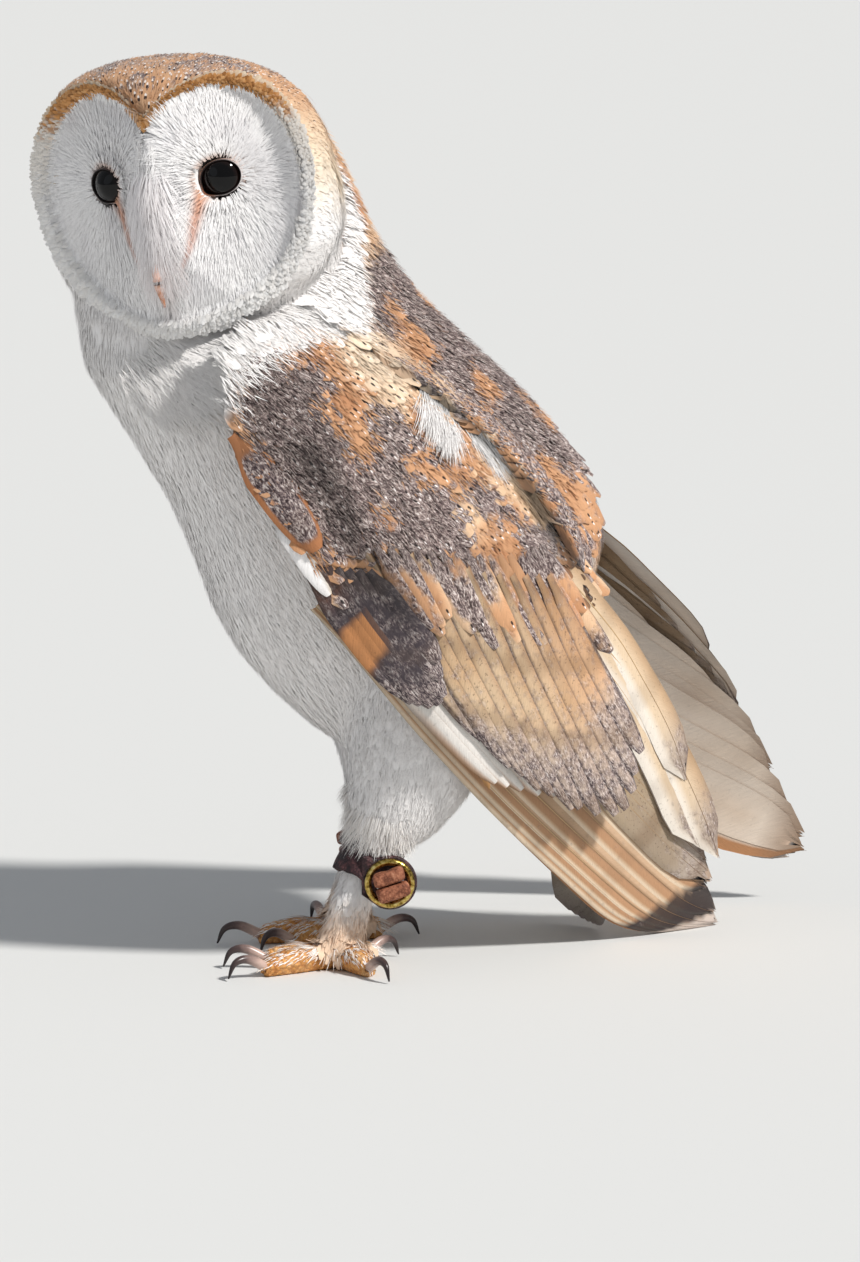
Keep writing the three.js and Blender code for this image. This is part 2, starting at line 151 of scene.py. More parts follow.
eyeSpacing = 41.5
discHalf = [
    (0, 26), (13, 31), (27, 33), (40, 25), (49, 6), (48, -10), (42, -26), (29, -39), (14, -46), (0, -47.5)
]
bandHalf = [(0, 20.5), (4.5, 24.5), (12, 29.5), (26, 31.8), (40, 24.7)] + discHalf[4:]


# How far the rim of the facial disc is from its middle, at an angle round it.
def rimOf(half):
    rim = half + [(-x, z) for x, z in half[-2:0:-1]]
    angles = np.array([math.atan2(z + 6, x) for x, z in rim])
    order = np.argsort(angles)
    at, size = angles[order], np.array([math.hypot(x, z + 6) for x, z in rim])[order]
    return reader(
        np.concatenate([at[-2:] - 2 * math.pi, at, at[:2] + 2 * math.pi]),
        np.concatenate([size[-2:], size, size[:2]])
    )


discSize, bandSize = rimOf(discHalf), rimOf(bandHalf)


# How far out on the face a place is, from 0 in its middle to
# 1 at its rim: the solid disc, and the face with its notch.
def discShare(x, z):
    return np.hypot(x, z + 6) / discSize(np.arctan2(z + 6, x))


def bandShare(x, z):
    return np.hypot(x, z + 6) / bandSize(np.arctan2(z + 6, x))


def discForward(x, z):
    side = np.sqrt(x * x + 16) - 4
    dish = 4.5 * np.maximum(0, 1 - ((side - 26) / 23) ** 2 - ((z + 6) / 36) ** 2)
    dent = 1.6 * np.exp(-(((side - eyeSpacing / 2 + 2.5) / 8) ** 2) - (z / 8) ** 2)
    return 12 - 0.42 * side - 8 * ((z + 8) / 40) ** 2 - dish - dent


# A place on the face, from how far it is to the side, up and out of it.
def faceMap(x, z, out):
    lip = 2.2 * smooth(0.9, 0.97, discShare(x, z))
    return fromHead(np.stack([x, -discForward(x, z) - out - lip, z], -1))


wingLength = 276
armAt = [-24, -12, 8, 40, 80, 115, 150]
armLow = reader(armAt, [14, 5, -4, -12, -20, -25, -25.5])
armHigh = reader(armAt, [28, 41, 51, 56, 59, 61, 55])
armThick = reader(armAt, [3, 9, 13, 14.5, 13.5, 10.5, 6.5])
holds = {
    "l": dict(side=1, lean=10, wrist=(0, -46, 184), tip=(0, 147, -13), out=[46, 53, 56, 54, 47, 36, 23, 12]),
    "r": dict(side=-1, lean=20, wrist=(0, -33, 180), tip=(0, 197, 17), out=[48, 55, 58, 57, 52, 44, 34, 25]),
}


# A place on a wing, from how far it is along, across and out of it. The wing curls round the body.
def wingMap(hold):
    out = reader(np.arange(8) * wingLength / 7, hold["out"])
    wrist, tip = np.array(hold["wrist"], float), np.array(hold["tip"], float)
    axis = unit(tip - wrist)
    upper = np.array([0, -axis[2], axis[1]])

    def place(along, across, outward):
        curl = 110 + 150 * np.clip((along - 90) / 190, 0, 1) ** 2
        lean = math.radians(hold["lean"]) * np.clip((along - 50) / 100, 0, 1)
        angle = across / curl + lean
        rise = np.sin(angle) * (curl + outward) - np.sin(lean) * curl
        p = wrist + axis * along[..., None] + upper * rise[..., None]
        p[..., 0] = (out(along) + np.cos(angle) * (curl + outward) - np.cos(lean) * curl) * hold["side"]
        z = p[..., 2]
        laid = np.where(z < -14, 0, (z + 14) ** 2 / 56)
        p[..., 2] = np.where(z < 14, laid, z)
        return p

    return place


wings = {name: wingMap(hold) for name, hold in holds.items()}


def armOuter(along, across):
    low, high = armLow(along), armHigh(along)
    t = np.clip((across - low) / (high - low), 0, 1)
    return 0.3 * armThick(along) * (0.2 + 0.8 * np.sqrt(np.maximum(0, 1 - (2 * t - 1) ** 2)))


print("shapes ready")


# Marks are four shares: grey vermiculation, a tear spot at
# the feather's tip, bars along it, and a chance number.
def marked(shape, fleck=0.0, spot=0.0, bar=0.0, chance=0.0):
    return np.stack([np.broadcast_to(mark, shape) for mark in (fleck, spot, bar, chance)], -1)


def headMarkings(p):
    x, y, z = np.moveaxis(toHead(p), -1, 0)
    lump, small = cloud(p, 9, 3), cloud(p, 3.5, 4)
    # Over the crown it is gold under grey, and it fades through cream to white down the sides.
    height = z + 0.22 * np.maximum(0, y - 10) + 4 * (lump - 0.5)
    golden = smooth(3, 22, height + 9 * smooth(20, 70, y))
    tint = mix("white", "cream", smooth(-20, 4, height))
    tint = mix(tint, mix("paleGold", "gold", smooth(14, 30, height)), golden)
    nape = smooth(34, 52, y) * smooth(38, 22, np.abs(x + 4))
    tint = mix(mix(tint, "paleGold", 0.35 * golden * small), "gold", 0.8 * nape)
    fleck = 0.7 * np.maximum(smooth(30, 36, height), 0.9 * nape) * smooth(0.35, 0.7, 0.6 * lump + 0.6 * small)
    spot = 0.1 * smooth(-6, 12, height) + 0.8 * smooth(24, 30, height)
    face = (bandShare(x, z) < 0.97) & (y < 10)
    tint = np.where(face[..., None], linear("white"), tint)
    marks = marked(x.shape, np.where(face, 0, fleck), np.where(face, 0, spot))
    return tint, marks, 1 - 0.1 * smooth(0.5, 0.9, small)


def bodyMarkings(p):
    x, y, z = np.moveaxis(p, -1, 0)
    lump = cloud(p, 14, 5)
    # The back of the neck turns gold where the mantle begins, and the rump is pale buff.
    behind = (y - (232 - z) * 0.82) + 12 * (lump - 0.5)
    # A gold strip joins the crown to the mantle behind the neck.
    across, depth, _ = np.moveaxis(toHead(p), -1, 0)
    nape = smooth(54, 68, depth + 8 * (lump - 0.5)) * smooth(40, 22, np.abs(across + 4)) * smooth(212, 226, z)
    tint = mix("white", "gold", np.maximum(smooth(3, 16, behind) * smooth(262, 244, z), 0.9 * nape))
    fleck = np.maximum(smooth(14, 26, behind) * smooth(252, 232, z), 0.8 * nape * smooth(0.4, 0.6, lump))
    rump = smooth(70, 100, y) * smooth(140, 110, z)
    tint = mix(tint, "E9BC8C", 0.7 * smooth(24, 9, z))
    return mix(tint, "paleBuff", 0.6 * rump), marked(x.shape, fleck * (1 - rump)), 1 - 0.06 * lump


# Patches on a folded wing: along, across and the size of each, in millimetres.
wingPatches = {
    "grey": [
        (6, 12, 12), (22, 12, 10), (36, 5, 9), (34, 15, 6), (48, 3, 9), (21, -4, 4), (34, 37, 5), (44, 36, 5),
        (42, 26, 4.5), (58, 23, 6), (67, 30, 6), (66, 16, 7), (78, 26, 6), (76, 42, 5), (90, 46, 5),
        (104, 47, 6), (110, 40, 6), (118, 28, 5), (8, 29, 6), (54, 44, 4),
    ],
    "gold": [
        (26, 28, 5.5), (36, 22, 4), (54, 34, 5), (84, 34, 6), (94, 40, 5), (52, 11, 3.5), (66, 52, 6),
        (94, 55, 7), (126, 36, 7), (6, 44, 8), (26, 48, 9), (42, 49, 6), (-4, 0, 4), (4, -5, 4),
        (33, -12, 3.5), (15, 27, 4), (70, 37, 3.5),
    ],
}
neckEnds = reader(
    [-30, 0, 12, 24, 36, 50, 58, 66, 82, 94, 101, 108], [-14, -6, -11, -10, -5, 7, 13, 12, 2, -6, -20, -42]
)
mantleEdge = reader([-34, 12, 36, 58, 88, 106, 122, 138], [46, 54, 60, 63, 65, 64, 62, 58])


def wingMarkings(along, across):
    flat = np.stack([along, across, 0 * along], -1)
    lump, blot = cloud(flat / [1.7, 1, 1], 9, 6), cloud(flat / [1.6, 1, 1], 4, 8)
    field = 0.12 + 0.5 * (lump - 0.5) + 0.55 * (blot - 0.5)
    for name, way in (("grey", 1), ("gold", -1)):
        for a, b, size in wingPatches[name]:
            field = field + way * np.exp(-(((along - a) * 0.8 / size) ** 2) - ((across - b) / size) ** 2)
    above = across - mantleEdge(along)
    onMantle = smooth(0, 4, above)
    # The mantle is grey over gold, which shows along its lower edge and in streaks.
    back = smooth(0.3, 0.5, lump + 0.3 * blot) * smooth(2.5, 7, above + 3 * (blot - 0.5))
    back = back * smooth(-10, 4, along - 0.3 * (across - 60))
    fleck = smooth(0.02, 0.4, field) * (1 - onMantle) + back * onMantle
    tint = mix("gold", "deepGold", 0.6 * smooth(0.45, 0.85, blot))
    tint = mix(tint, "paleGold", 0.8 * smooth(0.5, 0.75, lump))
    pale = smooth(17, 4, np.hypot((along - 20) * 0.7, across - 53))
    tint = mix(tint, "cream", 0.85 * pale)
    # Round the wrist the grey is darkened through the shade factor: painted shade of the fold there.
    wrist = smooth(26, 12, np.hypot((along - 10) * 0.75, (across - 12) * 1.1))
    front = smooth(4, 1, across - armLow(along)) * smooth(40, 24, along)
    tint = mix(tint, "deepGold", 0.6 * front)
    fleck = fleck * (1 - 0.85 * front) * (1 - 0.7 * pale)
    neck = smooth(2.5, -2.5, along - neckEnds(across) + 5 * (lump - 0.5))
    tint = mix(tint, "white", neck)
    fleck = fleck * (1 - neck)
    shoulder = smooth(50, 36, along) * smooth(26, 36, across) * smooth(62, 54, across)
    spot = (0.42 + 0.5 * shoulder) * (1 - neck)
    return tint, marked(along.shape, fleck, spot), 1 - 0.3 * wrist * fleck


# Where the wing folds it is in its own shade: under the
# edge of the mantle, and in the groove behind the wrist.
groove = reader([4, 30, 40, 54, 70, 84], [10, 8, 5, -1, -3, -4])


def foldShade(along, across):
    under = mantleEdge(along) - across
    wide = 5 + 12 * smooth(60, 130, along)
    mantle = smooth(wide, 0.3 * wide, under) * smooth(-1, 1, under)
    mantle = mantle * smooth(14, 44, along) * smooth(160, 138, along)
    wrist = np.exp(-(((across - groove(along)) / 5.5) ** 2)) * smooth(6, 26, along) * smooth(96, 76, along)
    return (1 - 0.8 * mantle) * (1 - 0.6 * wrist)


# Adds a node with its settings, its sockets' own values and its links, which come from nodes or from sockets.
# An operation follows the kind of a node that has one.
def addNode(tree, kind, settings=None, links=None):
    kind, *operation = kind.split()
    node = tree.nodes.new("ShaderNode" + kind)
    if operation:
        node.operation = operation[0]
    for key, value in (settings or {}).items():
        if key == "stops":
            ramp = node.color_ramp.elements
            while len(ramp) < len(value):
                ramp.new(0.5)
            for element, (at, colour) in zip(ramp, value):
                element.position, element.color = at, (*linear(colour), 1)
        elif isinstance(key, str) and hasattr(node, key):
            setattr(node, key, value)
        else:
            node.inputs[key].default_value = (*linear(value), 1.0) if isinstance(value, str) else value
    for key, source in (links or {}).items():
        socket = source if isinstance(source, bpy.types.NodeSocket) else source.outputs[0]
        tree.links.new(socket, node.inputs[key])
    return node


# A new material, what adds nodes to it, and its shader.
def newMaterial(name, settings):
    material = bpy.data.materials.new(name)
    material.use_nodes = True
    shader = material.node_tree.nodes["Principled BSDF"]
    for key, value in settings.items():
        shader.inputs[key].default_value = value
    return material, partial(addNode, material.node_tree), shader


# Links nodes to the shader's sockets.
def shaded(shader, links):
    for socket, node in links.items():
        shader.id_data.links.new(node.outputs[0], shader.inputs[socket])


pepper = [(0.38, "2A2126"), (0.46, "64565A"), (0.52, "93837F"), (0.58, "BFB0AA"), (0.67, "E6DEDA")]


# Keratin vanes split into barbs: soft and without shine. Barbs slant off the
# shaft about 0.5 mm apart, grey patches are salt and pepper 0.6 mm across, a
# black drop and a white one sit before the tip, and vanes darken to their edges.
# Towards the root vanes are darker: painted shade where other feathers cover them.
def plumage(name, look):
    settings = {"Roughness": look["roughness"], "Specular IOR Level": 0.25}
    settings |= {"Sheen Weight": 0.12, "Sheen Roughness": 0.5}
    material, add, shader = newMaterial(name, settings)
    tint = add("Attribute", {"attribute_name": "tint"})
    shade = add("Attribute", {"attribute_name": "shade"}).outputs["Fac"]
    marks = add("Attribute", {"attribute_name": "marks"})
    fleck, spot, bar = add("SeparateColor", links={"Color": marks}).outputs
    chance = add("Math MULTIPLY", {1: 90.0}, {0: marks.outputs["Alpha"]})
    barb = add("UVMap", {"uv_map": "barb"})
    aside, down, _ = add("SeparateXYZ", links={"Vector": barb}).outputs
    vane = add("UVMap", {"uv_map": "vane"})
    vaneX, vaneY, _ = add("SeparateXYZ", links={"Vector": vane}).outputs
    far = add("Math ABSOLUTE", links={0: aside})
    slant = add("Math MULTIPLY_ADD", {1: -1.3}, {0: far, 2: down})
    slant = add("Math DIVIDE", {1: look["barb"]}, {0: slant})
    flat = add("Math MULTIPLY", {1: 0.3}, {0: aside})
    lines = add("CombineXYZ", links={"X": slant, "Y": flat, "Z": chance})
    barbs = add("TexNoise", {"Scale": 1.0, "Detail": 2.0, "Roughness": 0.65}, {"Vector": lines})
    grainAt = add("VectorMath MULTIPLY", {1: (1.5, 0.6, 1)}, {0: barb})
    grit = add(
        "TexNoise",
        {"noise_dimensions": "4D", "Scale": 1.0, "Detail": 2.5, "Roughness": 0.7, "Distortion": 0.7},
        {"Vector": grainAt, "W": chance}
    )
    grains = add("ValToRGB", {"stops": pepper}, {0: grit})
    place = add("TexCoord").outputs["Object"]
    patchy = add("TexNoise", {"Scale": 330.0, "Detail": 2.0}, {"Vector": place})
    edge = add("Math MULTIPLY_ADD", {1: 0.9, 2: -0.45}, {0: patchy})
    cover = add("Math ADD", links={0: fleck, 1: edge})
    cover = add("MapRange", {1: 0.22, 2: 0.68, 3: 0.0, 4: 0.95}, {0: cover})
    colour = add("MixRGB", links={0: cover, 1: tint, 2: grains})
    # Where a place is before the tip, in millimetres, and how far off the shaft, as a share of the vane.
    length = add("Math DIVIDE", links={0: down, 1: vaneY})
    before = add("Math SUBTRACT", links={0: length, 1: down})
    middle = add("Math SUBTRACT", {1: 0.5}, {0: vaneX})
    spotAt = add("CombineXYZ", links={"X": middle, "Y": before})
    for at, wide, long, tone in look["drops"]:
        reach = add(
            "VectorMath MULTIPLY_ADD", {1: (1 / wide, 1 / long, 0), 2: (0, -at / long, 0)}, {0: spotAt}
        )
        reach = add("VectorMath LENGTH", links={0: reach}).outputs["Value"]
        drop = add("MapRange", {1: 0.8, 2: 1.15, 3: 0.95, 4: 0.0}, {0: reach})
        drop = add("Math MULTIPLY", links={0: drop, 1: spot})
        colour = add("MixRGB", {2: tone}, {0: drop, 1: colour})
    # Flight feathers have soft bars 30 mm apart and dashes of dark along the barbs.
    wave = add("Math MULTIPLY_ADD", {1: 2 * math.pi / 30}, {0: down, 2: patchy})
    wave = add("Math SINE", links={0: wave})
    bars = add("MapRange", {1: 0.45, 2: 0.95, 3: 0.0, 4: 0.5}, {0: wave})
    bars = add("Math MULTIPLY", links={0: bars, 1: bar})
    colour = add("MixRGB", {2: "7A6046"}, {0: bars, 1: colour})
    dash = add(
        "TexNoise", {"noise_dimensions": "4D", "Scale": 0.95, "Detail": 2.0, "Roughness": 0.6},
        {"Vector": barb, "W": chance}
    )
    dashes = add("MapRange", {1: 0.6, 2: 0.68, 3: 0.0, 4: 0.75}, {0: dash})
    dashes = add("Math MULTIPLY", links={0: dashes, 1: bar})
    colour = add("MixRGB", {2: "55402F"}, {0: dashes, 1: colour})
    light = add("Math MULTIPLY_ADD", {1: 2 * look["streak"], 2: 1 - look["streak"]}, {0: barbs})
    # The shade attribute darkens by painted shade, at folds, covered roots and feather edges, and by tone
    # that differs at random from feather to feather.
    light = add("Math MULTIPLY", links={0: light, 1: shade})
    off = add("Math ABSOLUTE", links={0: middle})
    rim = add("MapRange", {1: 0.34, 2: 0.5, 3: 1.0, 4: 1 - look["rim"]}, {0: off})
    light = add("Math MULTIPLY", links={0: light, 1: rim})
    # Darker towards the root: painted shade where the feather lies under others.
    root = add("MapRange", {1: 0.05, 2: 0.55, 3: 1 - look["root"], 4: 1.0}, {0: vaneY})
    light = add("Math MULTIPLY", links={0: light, 1: root})
    colour = add("VectorMath SCALE", links={0: colour, "Scale": light})
    bump = add("Bump", {"Strength": 0.35, "Distance": 0.0003}, {"Height": barbs})
    shaded(shader, {"Base Color": colour, "Normal": bump})
    return material


drops = [(2.5, 0.08, 0.9, "1A1214"), (1.2, 0.055, 0.6, "F2ECE8")]
crownDrops = [(2.3, 0.2, 0.7, "2A1E20"), (1.3, 0.17, 0.5, "F0E8E2")]
downMaterial = plumage(
    "white down in fine separate barbs",
    dict(roughness=0.8, streak=0.04, barb=0.7, drops=[], rim=0.0, root=0.05)
)
vaneMaterial = plumage(
    "contour feathers with speckled vanes",
    dict(roughness=0.72, streak=0.26, barb=0.5, drops=drops, rim=0.2, root=0.3)
)
crownMaterial = plumage(
    "small crown feathers", dict(roughness=0.75, streak=0.12, barb=0.5, drops=crownDrops, rim=0.05, root=0.12)
)
flightMaterial = plumage(
    "flight feathers with zipped barbs",
    dict(roughness=0.6, streak=0.12, barb=0.6, drops=[], rim=0.12, root=0.1)
)


# A group of feathers. Its points are feathers x steps x columns x 3, in millimetres.
def feathers(points, normals, even, tint, marks, half, length, chart=None, shade=1.0):
    return dict(
        points=points, normals=normals, even=even, tint=tint, marks=marks,
        half=half, length=length, chart=chart, shade=shade,
    )


# Joins groups of feathers into one piece.
def newPiece(name, groups, material, replaced=()):
    groups = [g for g in groups if len(g["points"])]
    parts = {key: [] for key in ("co", "normal", "tint", "marks", "shade", "vane", "barb", "OFBake", "faces")}
    start = 0
    for group in groups:
        points = group["points"]
        count, steps, columns = points.shape[:3]
        parts["co"].append(points.reshape(-1, 3))
        # Faces look outward, and their shading is eased towards that of the surface beneath, as soft down is.
        own = unit(np.cross(np.gradient(points, axis=2), np.gradient(points, axis=1)))
        inward = (own * group["normals"]).sum((1, 2, 3)) < 0
        own[inward] *= -1
        parts["normal"].append(
            unit(own * (1 - group["even"]) + group["normals"] * group["even"]).reshape(-1, 3)
        )
        for key, wide in (("tint", (3,)), ("marks", (4,)), ("shade", ())):
            parts[key].append(np.broadcast_to(group[key], (count, steps, columns, *wide)).reshape(-1, *wide))
        u, v = np.meshgrid(np.linspace(0, 1, columns), np.linspace(0, 1, steps))
        vane = np.broadcast_to(np.stack([u, v], -1), (count, steps, columns, 2))
        parts["vane"].append(vane.reshape(-1, 2))
        size = np.stack([2 * group["half"], group["length"]], -1)[:, None, None]
        parts["barb"].append(((vane - [0.5, 0]) * size).reshape(-1, 2))
        parts["OFBake"].append(
            (group["chart"][:, None, None] + (vane - 0.5) * group.get("patch", 0.003)).reshape(-1, 2)
        )
        i, j = np.meshgrid(np.arange(steps - 1), np.arange(columns - 1), indexing="ij")
        corner = (i * columns + j).reshape(-1)
        quad = np.stack([corner, corner + 1, corner + columns + 1, corner + columns], -1)
        made = (start + np.arange(count) * steps * columns)[:, None, None] + quad
        made[inward] = made[inward][..., ::-1]
        parts["faces"].append(made.reshape(-1, 4))
        start += count * steps * columns
    data = {key: np.concatenate(value) for key, value in parts.items()}
    mesh = bpy.data.meshes.new(name)
    mesh.vertices.add(len(data["co"]))
    mesh.vertices.foreach_set("co", ((data["co"] + standing) / 1000).astype(np.float32).ravel())
    mesh.loops.add(data["faces"].size)
    mesh.loops.foreach_set("vertex_index", data["faces"].ravel().astype(np.int32))
    mesh.polygons.add(len(data["faces"]))
    mesh.polygons.foreach_set("loop_start", (np.arange(len(data["faces"])) * 4).astype(np.int32))
    mesh.update(calc_edges=True)
    mesh.polygons.foreach_set("use_smooth", np.ones(len(data["faces"]), bool))
    corners = data["faces"].ravel()
    for key in ("vane", "barb", "OFBake"):
        mesh.uv_layers.new(name=key).uv.foreach_set("vector", data[key][corners].astype(np.float32).ravel())
    mesh.normals_split_custom_set_from_vertices(data["normal"])
    for key in ("tint", "marks"):
        addColours(mesh, key, data[key])
    mesh.attributes.new("shade", "FLOAT", "POINT").data.foreach_set("value", data["shade"].astype(np.float32))
    print(name, len(data["faces"]) * 2, "triangles")
    dressed(mesh, [material], replaced)


def addColours(mesh, name, values):
    four = np.ones((len(values), 4), np.float32)
    four[:, : values.shape[1]] = values
    mesh.attributes.new(name, "FLOAT_COLOR", "POINT").data.foreach_set("color", four.ravel())


def linked(name, data):
    thing = bpy.data.objects.new(name, data)
    bpy.context.collection.objects.link(thing)
    return thing


def dressed(mesh, materials, replaced=()):
    for material in materials:
        mesh.materials.append(material)
    piece = linked(mesh.name, mesh)
    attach(piece, "root")
    if replaced:
        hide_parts(*replaced)


# How wide a feather is along its length: round at the tip, or drawn out to a point.
def rounded(v):
    tip = np.clip((v - 0.55) / 0.47, 0, 1)
    return np.sqrt(np.clip(1 - tip**2.2, 0, 1)) * (0.25 + 0.75 * smooth(0, 0.4, v))


def pointed(v):
    return (0.6 + 0.4 * smooth(0, 0.3, v)) * (1 - 0.86 * np.clip((v - 0.35) / 0.65, 0, 1) ** 1.3)


# Feathers laid in the two directions of a map. rise gives how far out of it they lie, root to tip.
def onMap(
    place, first, second, turn, length, half, rise, steps, columns, profile, camber=0.25, base=None, bow=0.0
):
    v = np.linspace(0, 1, steps)
    c, s = np.cos(turn)[:, None], np.sin(turn)[:, None]
    run, aside = length[:, None] * v, bow * length[:, None] * v * (v - 1)
    a = first[:, None] + run * c - aside * s
    b = second[:, None] + run * s + aside * c
    wide = half[:, None] * profile(v)
    u = np.linspace(-1, 1, columns)
    a3 = a[..., None] - wide[..., None] * u * s[..., None]
    b3 = b[..., None] + wide[..., None] * u * c[..., None]
    out = (rise[0][:, None] + (rise[1] - rise[0])[:, None] * v)[..., None] - camber * wide[..., None] * u**2
    if base is not None:
        out = out + base(a3, b3)
    points = place(a3, b3, out)
    return points, unit(place(a3, b3, out + 1) - points), a3, b3


# The skin: one closed surface inside the solids, as deep as the plumage over each.
flesh = ["head", "neck", "trunk", "wing_l", "wing_r", "thigh_l", "thigh_r", "tarsus_l", "tarsus_r"]
feet = ["foot_l", "foot_r"]
bare = flesh + feet


def arraysOf(mesh):
    mesh.calc_loop_triangles()
    p = np.empty(len(mesh.vertices) * 3)
    n = np.empty(len(mesh.vertices) * 3)
    t = np.empty(len(mesh.loop_triangles) * 3, int)
    mesh.vertices.foreach_get("co", p)
    mesh.vertices.foreach_get("normal", n)
    mesh.loop_triangles.foreach_get("vertices", t)
    return p.reshape(-1, 3) * 1000 - standing, n.reshape(-1, 3), t.reshape(-1, 3)


def solidOf(names, grow):
    places, faces, labels, start = [], [], [], 0
    for k, name in enumerate(names):
        p, n, t = arraysOf(nodes[name].data)
        places.append(p + n * grow)
        faces.append(t + start)
        labels.append(np.full(len(t), k))
        start += len(p)
    return np.concatenate(places), np.concatenate(faces), np.concatenate(labels)


def treeOf(places, faces):
    return BVHTree.FromPolygons(places.tolist(), faces.tolist())


def meshOf(places, faces):
    mesh = bpy.data.meshes.new("part")
    mesh.from_pydata((places + standing) / 1000, [], faces.tolist())
    mesh.update()
    return mesh


def remeshed(mesh, size, ease):
    thing = linked("part", mesh)
    coarse = thing.modifiers.new("remesh", "REMESH")
    coarse.mode = "VOXEL"
    coarse.voxel_size = size / 1000
    calm = thing.modifiers.new("smooth", "SMOOTH")
    calm.iterations = ease
    calm.factor = 0.5
    result = bpy.data.meshes.new_from_object(thing.evaluated_get(bpy.context.evaluated_depsgraph_get()))
    bpy.data.objects.remove(thing)
    return result


coatDepth = {
    "head": 1.3, "neck": 3.0, "trunk": 3.0, "wing_l": 2.4, "wing_r": 2.4, "thigh_l": 2.6, "thigh_r": 2.6,
    "tarsus_l": 1.0, "tarsus_r": 1.0, "foot_l": 0.0, "foot_r": 0.0
}
toes = [("inner", -22, 27, 1), ("middle", 7, 32, 1.05), ("outer", 92, 23, 0.95), ("hind", 192, 15, 0.95)]
legs = [("l", 1, 0, 4), ("r", -1, 20, 2)]


# Which way a toe points on its foot.
def toeWay(angle):
    return np.array([math.sin(math.radians(angle)), -math.cos(math.radians(angle)), 0])


# From a foot's own frame to the owl's.
def footPlace(side, back, turn):
    m = turnMatrix(2, math.radians(turn * side))
    return lambda p: (np.asarray(p, float) * [side, 1, 1]) @ m.T + [side * 21, back, 0]


def nearest(tree, places):
    found = [tree.find_nearest(p) for p in places.tolist()]
    return np.array([f[0] for f in found]), np.array([f[2] for f in found])


solidPlaces, solidFaces, solidLabels = solidOf(bare, 0.5)
solidTree = treeOf(solidPlaces, solidFaces)
rough = remeshed(meshOf(solidPlaces, solidFaces), 1.9, 4)
p, n, t = arraysOf(rough)
_, at = nearest(solidTree, p)
depths = np.array([coatDepth[name] for name in bare])[solidLabels[at]] + 0.5
edges = np.concatenate([t[:, [0, 1]], t[:, [1, 2]], t[:, [2, 0]]])
for _ in range(5):
    total, count = np.zeros(len(p)), np.zeros(len(p))
    np.add.at(total, edges[:, 0], depths[edges[:, 1]])
    np.add.at(count, edges[:, 0], 1)
    depths = 0.5 * depths + 0.5 * total / np.maximum(count, 1)
bodySkin = remeshed(meshOf(p - n * depths[:, None], t), 1.5, 4)

# The feet get a finer net, which is laid on their solids again and raised in scutes across the toes.
bm = bmesh.new()
bm.from_mesh(bodySkin)
low = [e for e in bm.edges if max(v.co.z for v in e.verts) < 0.014]
bmesh.ops.subdivide_edges(bm, edges=low, cuts=1, use_grid_fill=True)
bmesh.ops.triangulate(bm, faces=bm.faces)
bm.to_mesh(bodySkin)
bm.free()
skinPlaces, skinNormals, skinFaces = arraysOf(bodySkin)
footTree = treeOf(*solidOf(feet, 0.1)[:2])
onFoot = skinPlaces[:, 2] < 13
laid, _ = nearest(footTree, skinPlaces[onFoot])
gap = np.linalg.norm(laid - skinPlaces[onFoot], axis=1)
closeBy = smooth(3, 1.2, gap) * smooth(13, 9, skinPlaces[onFoot][:, 2])
skinPlaces[onFoot] = mix(skinPlaces[onFoot], laid, closeBy)
lift = np.zeros(len(skinPlaces))
for _, side, back, turn in legs:
    place = footPlace(side, back, turn)
    for _, angle, length, _ in toes:
        way = toeWay(angle)
        start, end = place(way * 5), place(way * length)
        run = end - start
        along = ((skinPlaces - start) @ run) / (run @ run)
        off = np.linalg.norm((skinPlaces - start) - along[:, None] * run, axis=1)
        on = smooth(9, 6.5, off) * smooth(0.15, 0.35, along) * smooth(1.2, 1.02, along)
        on = on * (skinPlaces[:, 2] < 11)
        wave = 1 - 1.7 * np.abs(np.sin(along * length / 3.0 * math.pi)) ** 0.35
        lift = np.where(on > 0, -0.42 * wave * on * np.where(skinNormals[:, 2] > 0.1, 1, 0.5), lift)
skinPlaces = skinPlaces + skinNormals * (lift - 0.15 * (lift != 0))[:, None]
skinPlaces[:, 2] = np.maximum(skinPlaces[:, 2], 0.02)
_, at = nearest(solidTree, skinPlaces)
skinLabels = solidLabels[at]
skinTree = treeOf(skinPlaces, skinFaces)
faceNormals = unit(skinNormals[skinFaces].sum(1))
print("skin", len(skinFaces), "triangles")


# Even but random places on part of the skin.
def scatter(mask, density):
    tri = skinFaces[mask]
    a, b, c = skinPlaces[tri[:, 0]], skinPlaces[tri[:, 1]], skinPlaces[tri[:, 2]]
    areas = 0.5 * np.linalg.norm(np.cross(b - a, c - a), axis=1)
    count = int(areas.sum() * density * share)
    ends = np.cumsum(areas)
    pick = np.searchsorted(ends, (np.arange(count) + rng.random(count)) / max(count, 1) * ends[-1])
    pick = np.clip(pick, 0, len(tri) - 1)
    r, s = rng.random((2, count))
    turned = r + s > 1
    r[turned], s[turned] = 1 - r[turned], 1 - s[turned]
    return a[pick] + (b - a)[pick] * r[:, None] + (c - a)[pick] * s[:, None]


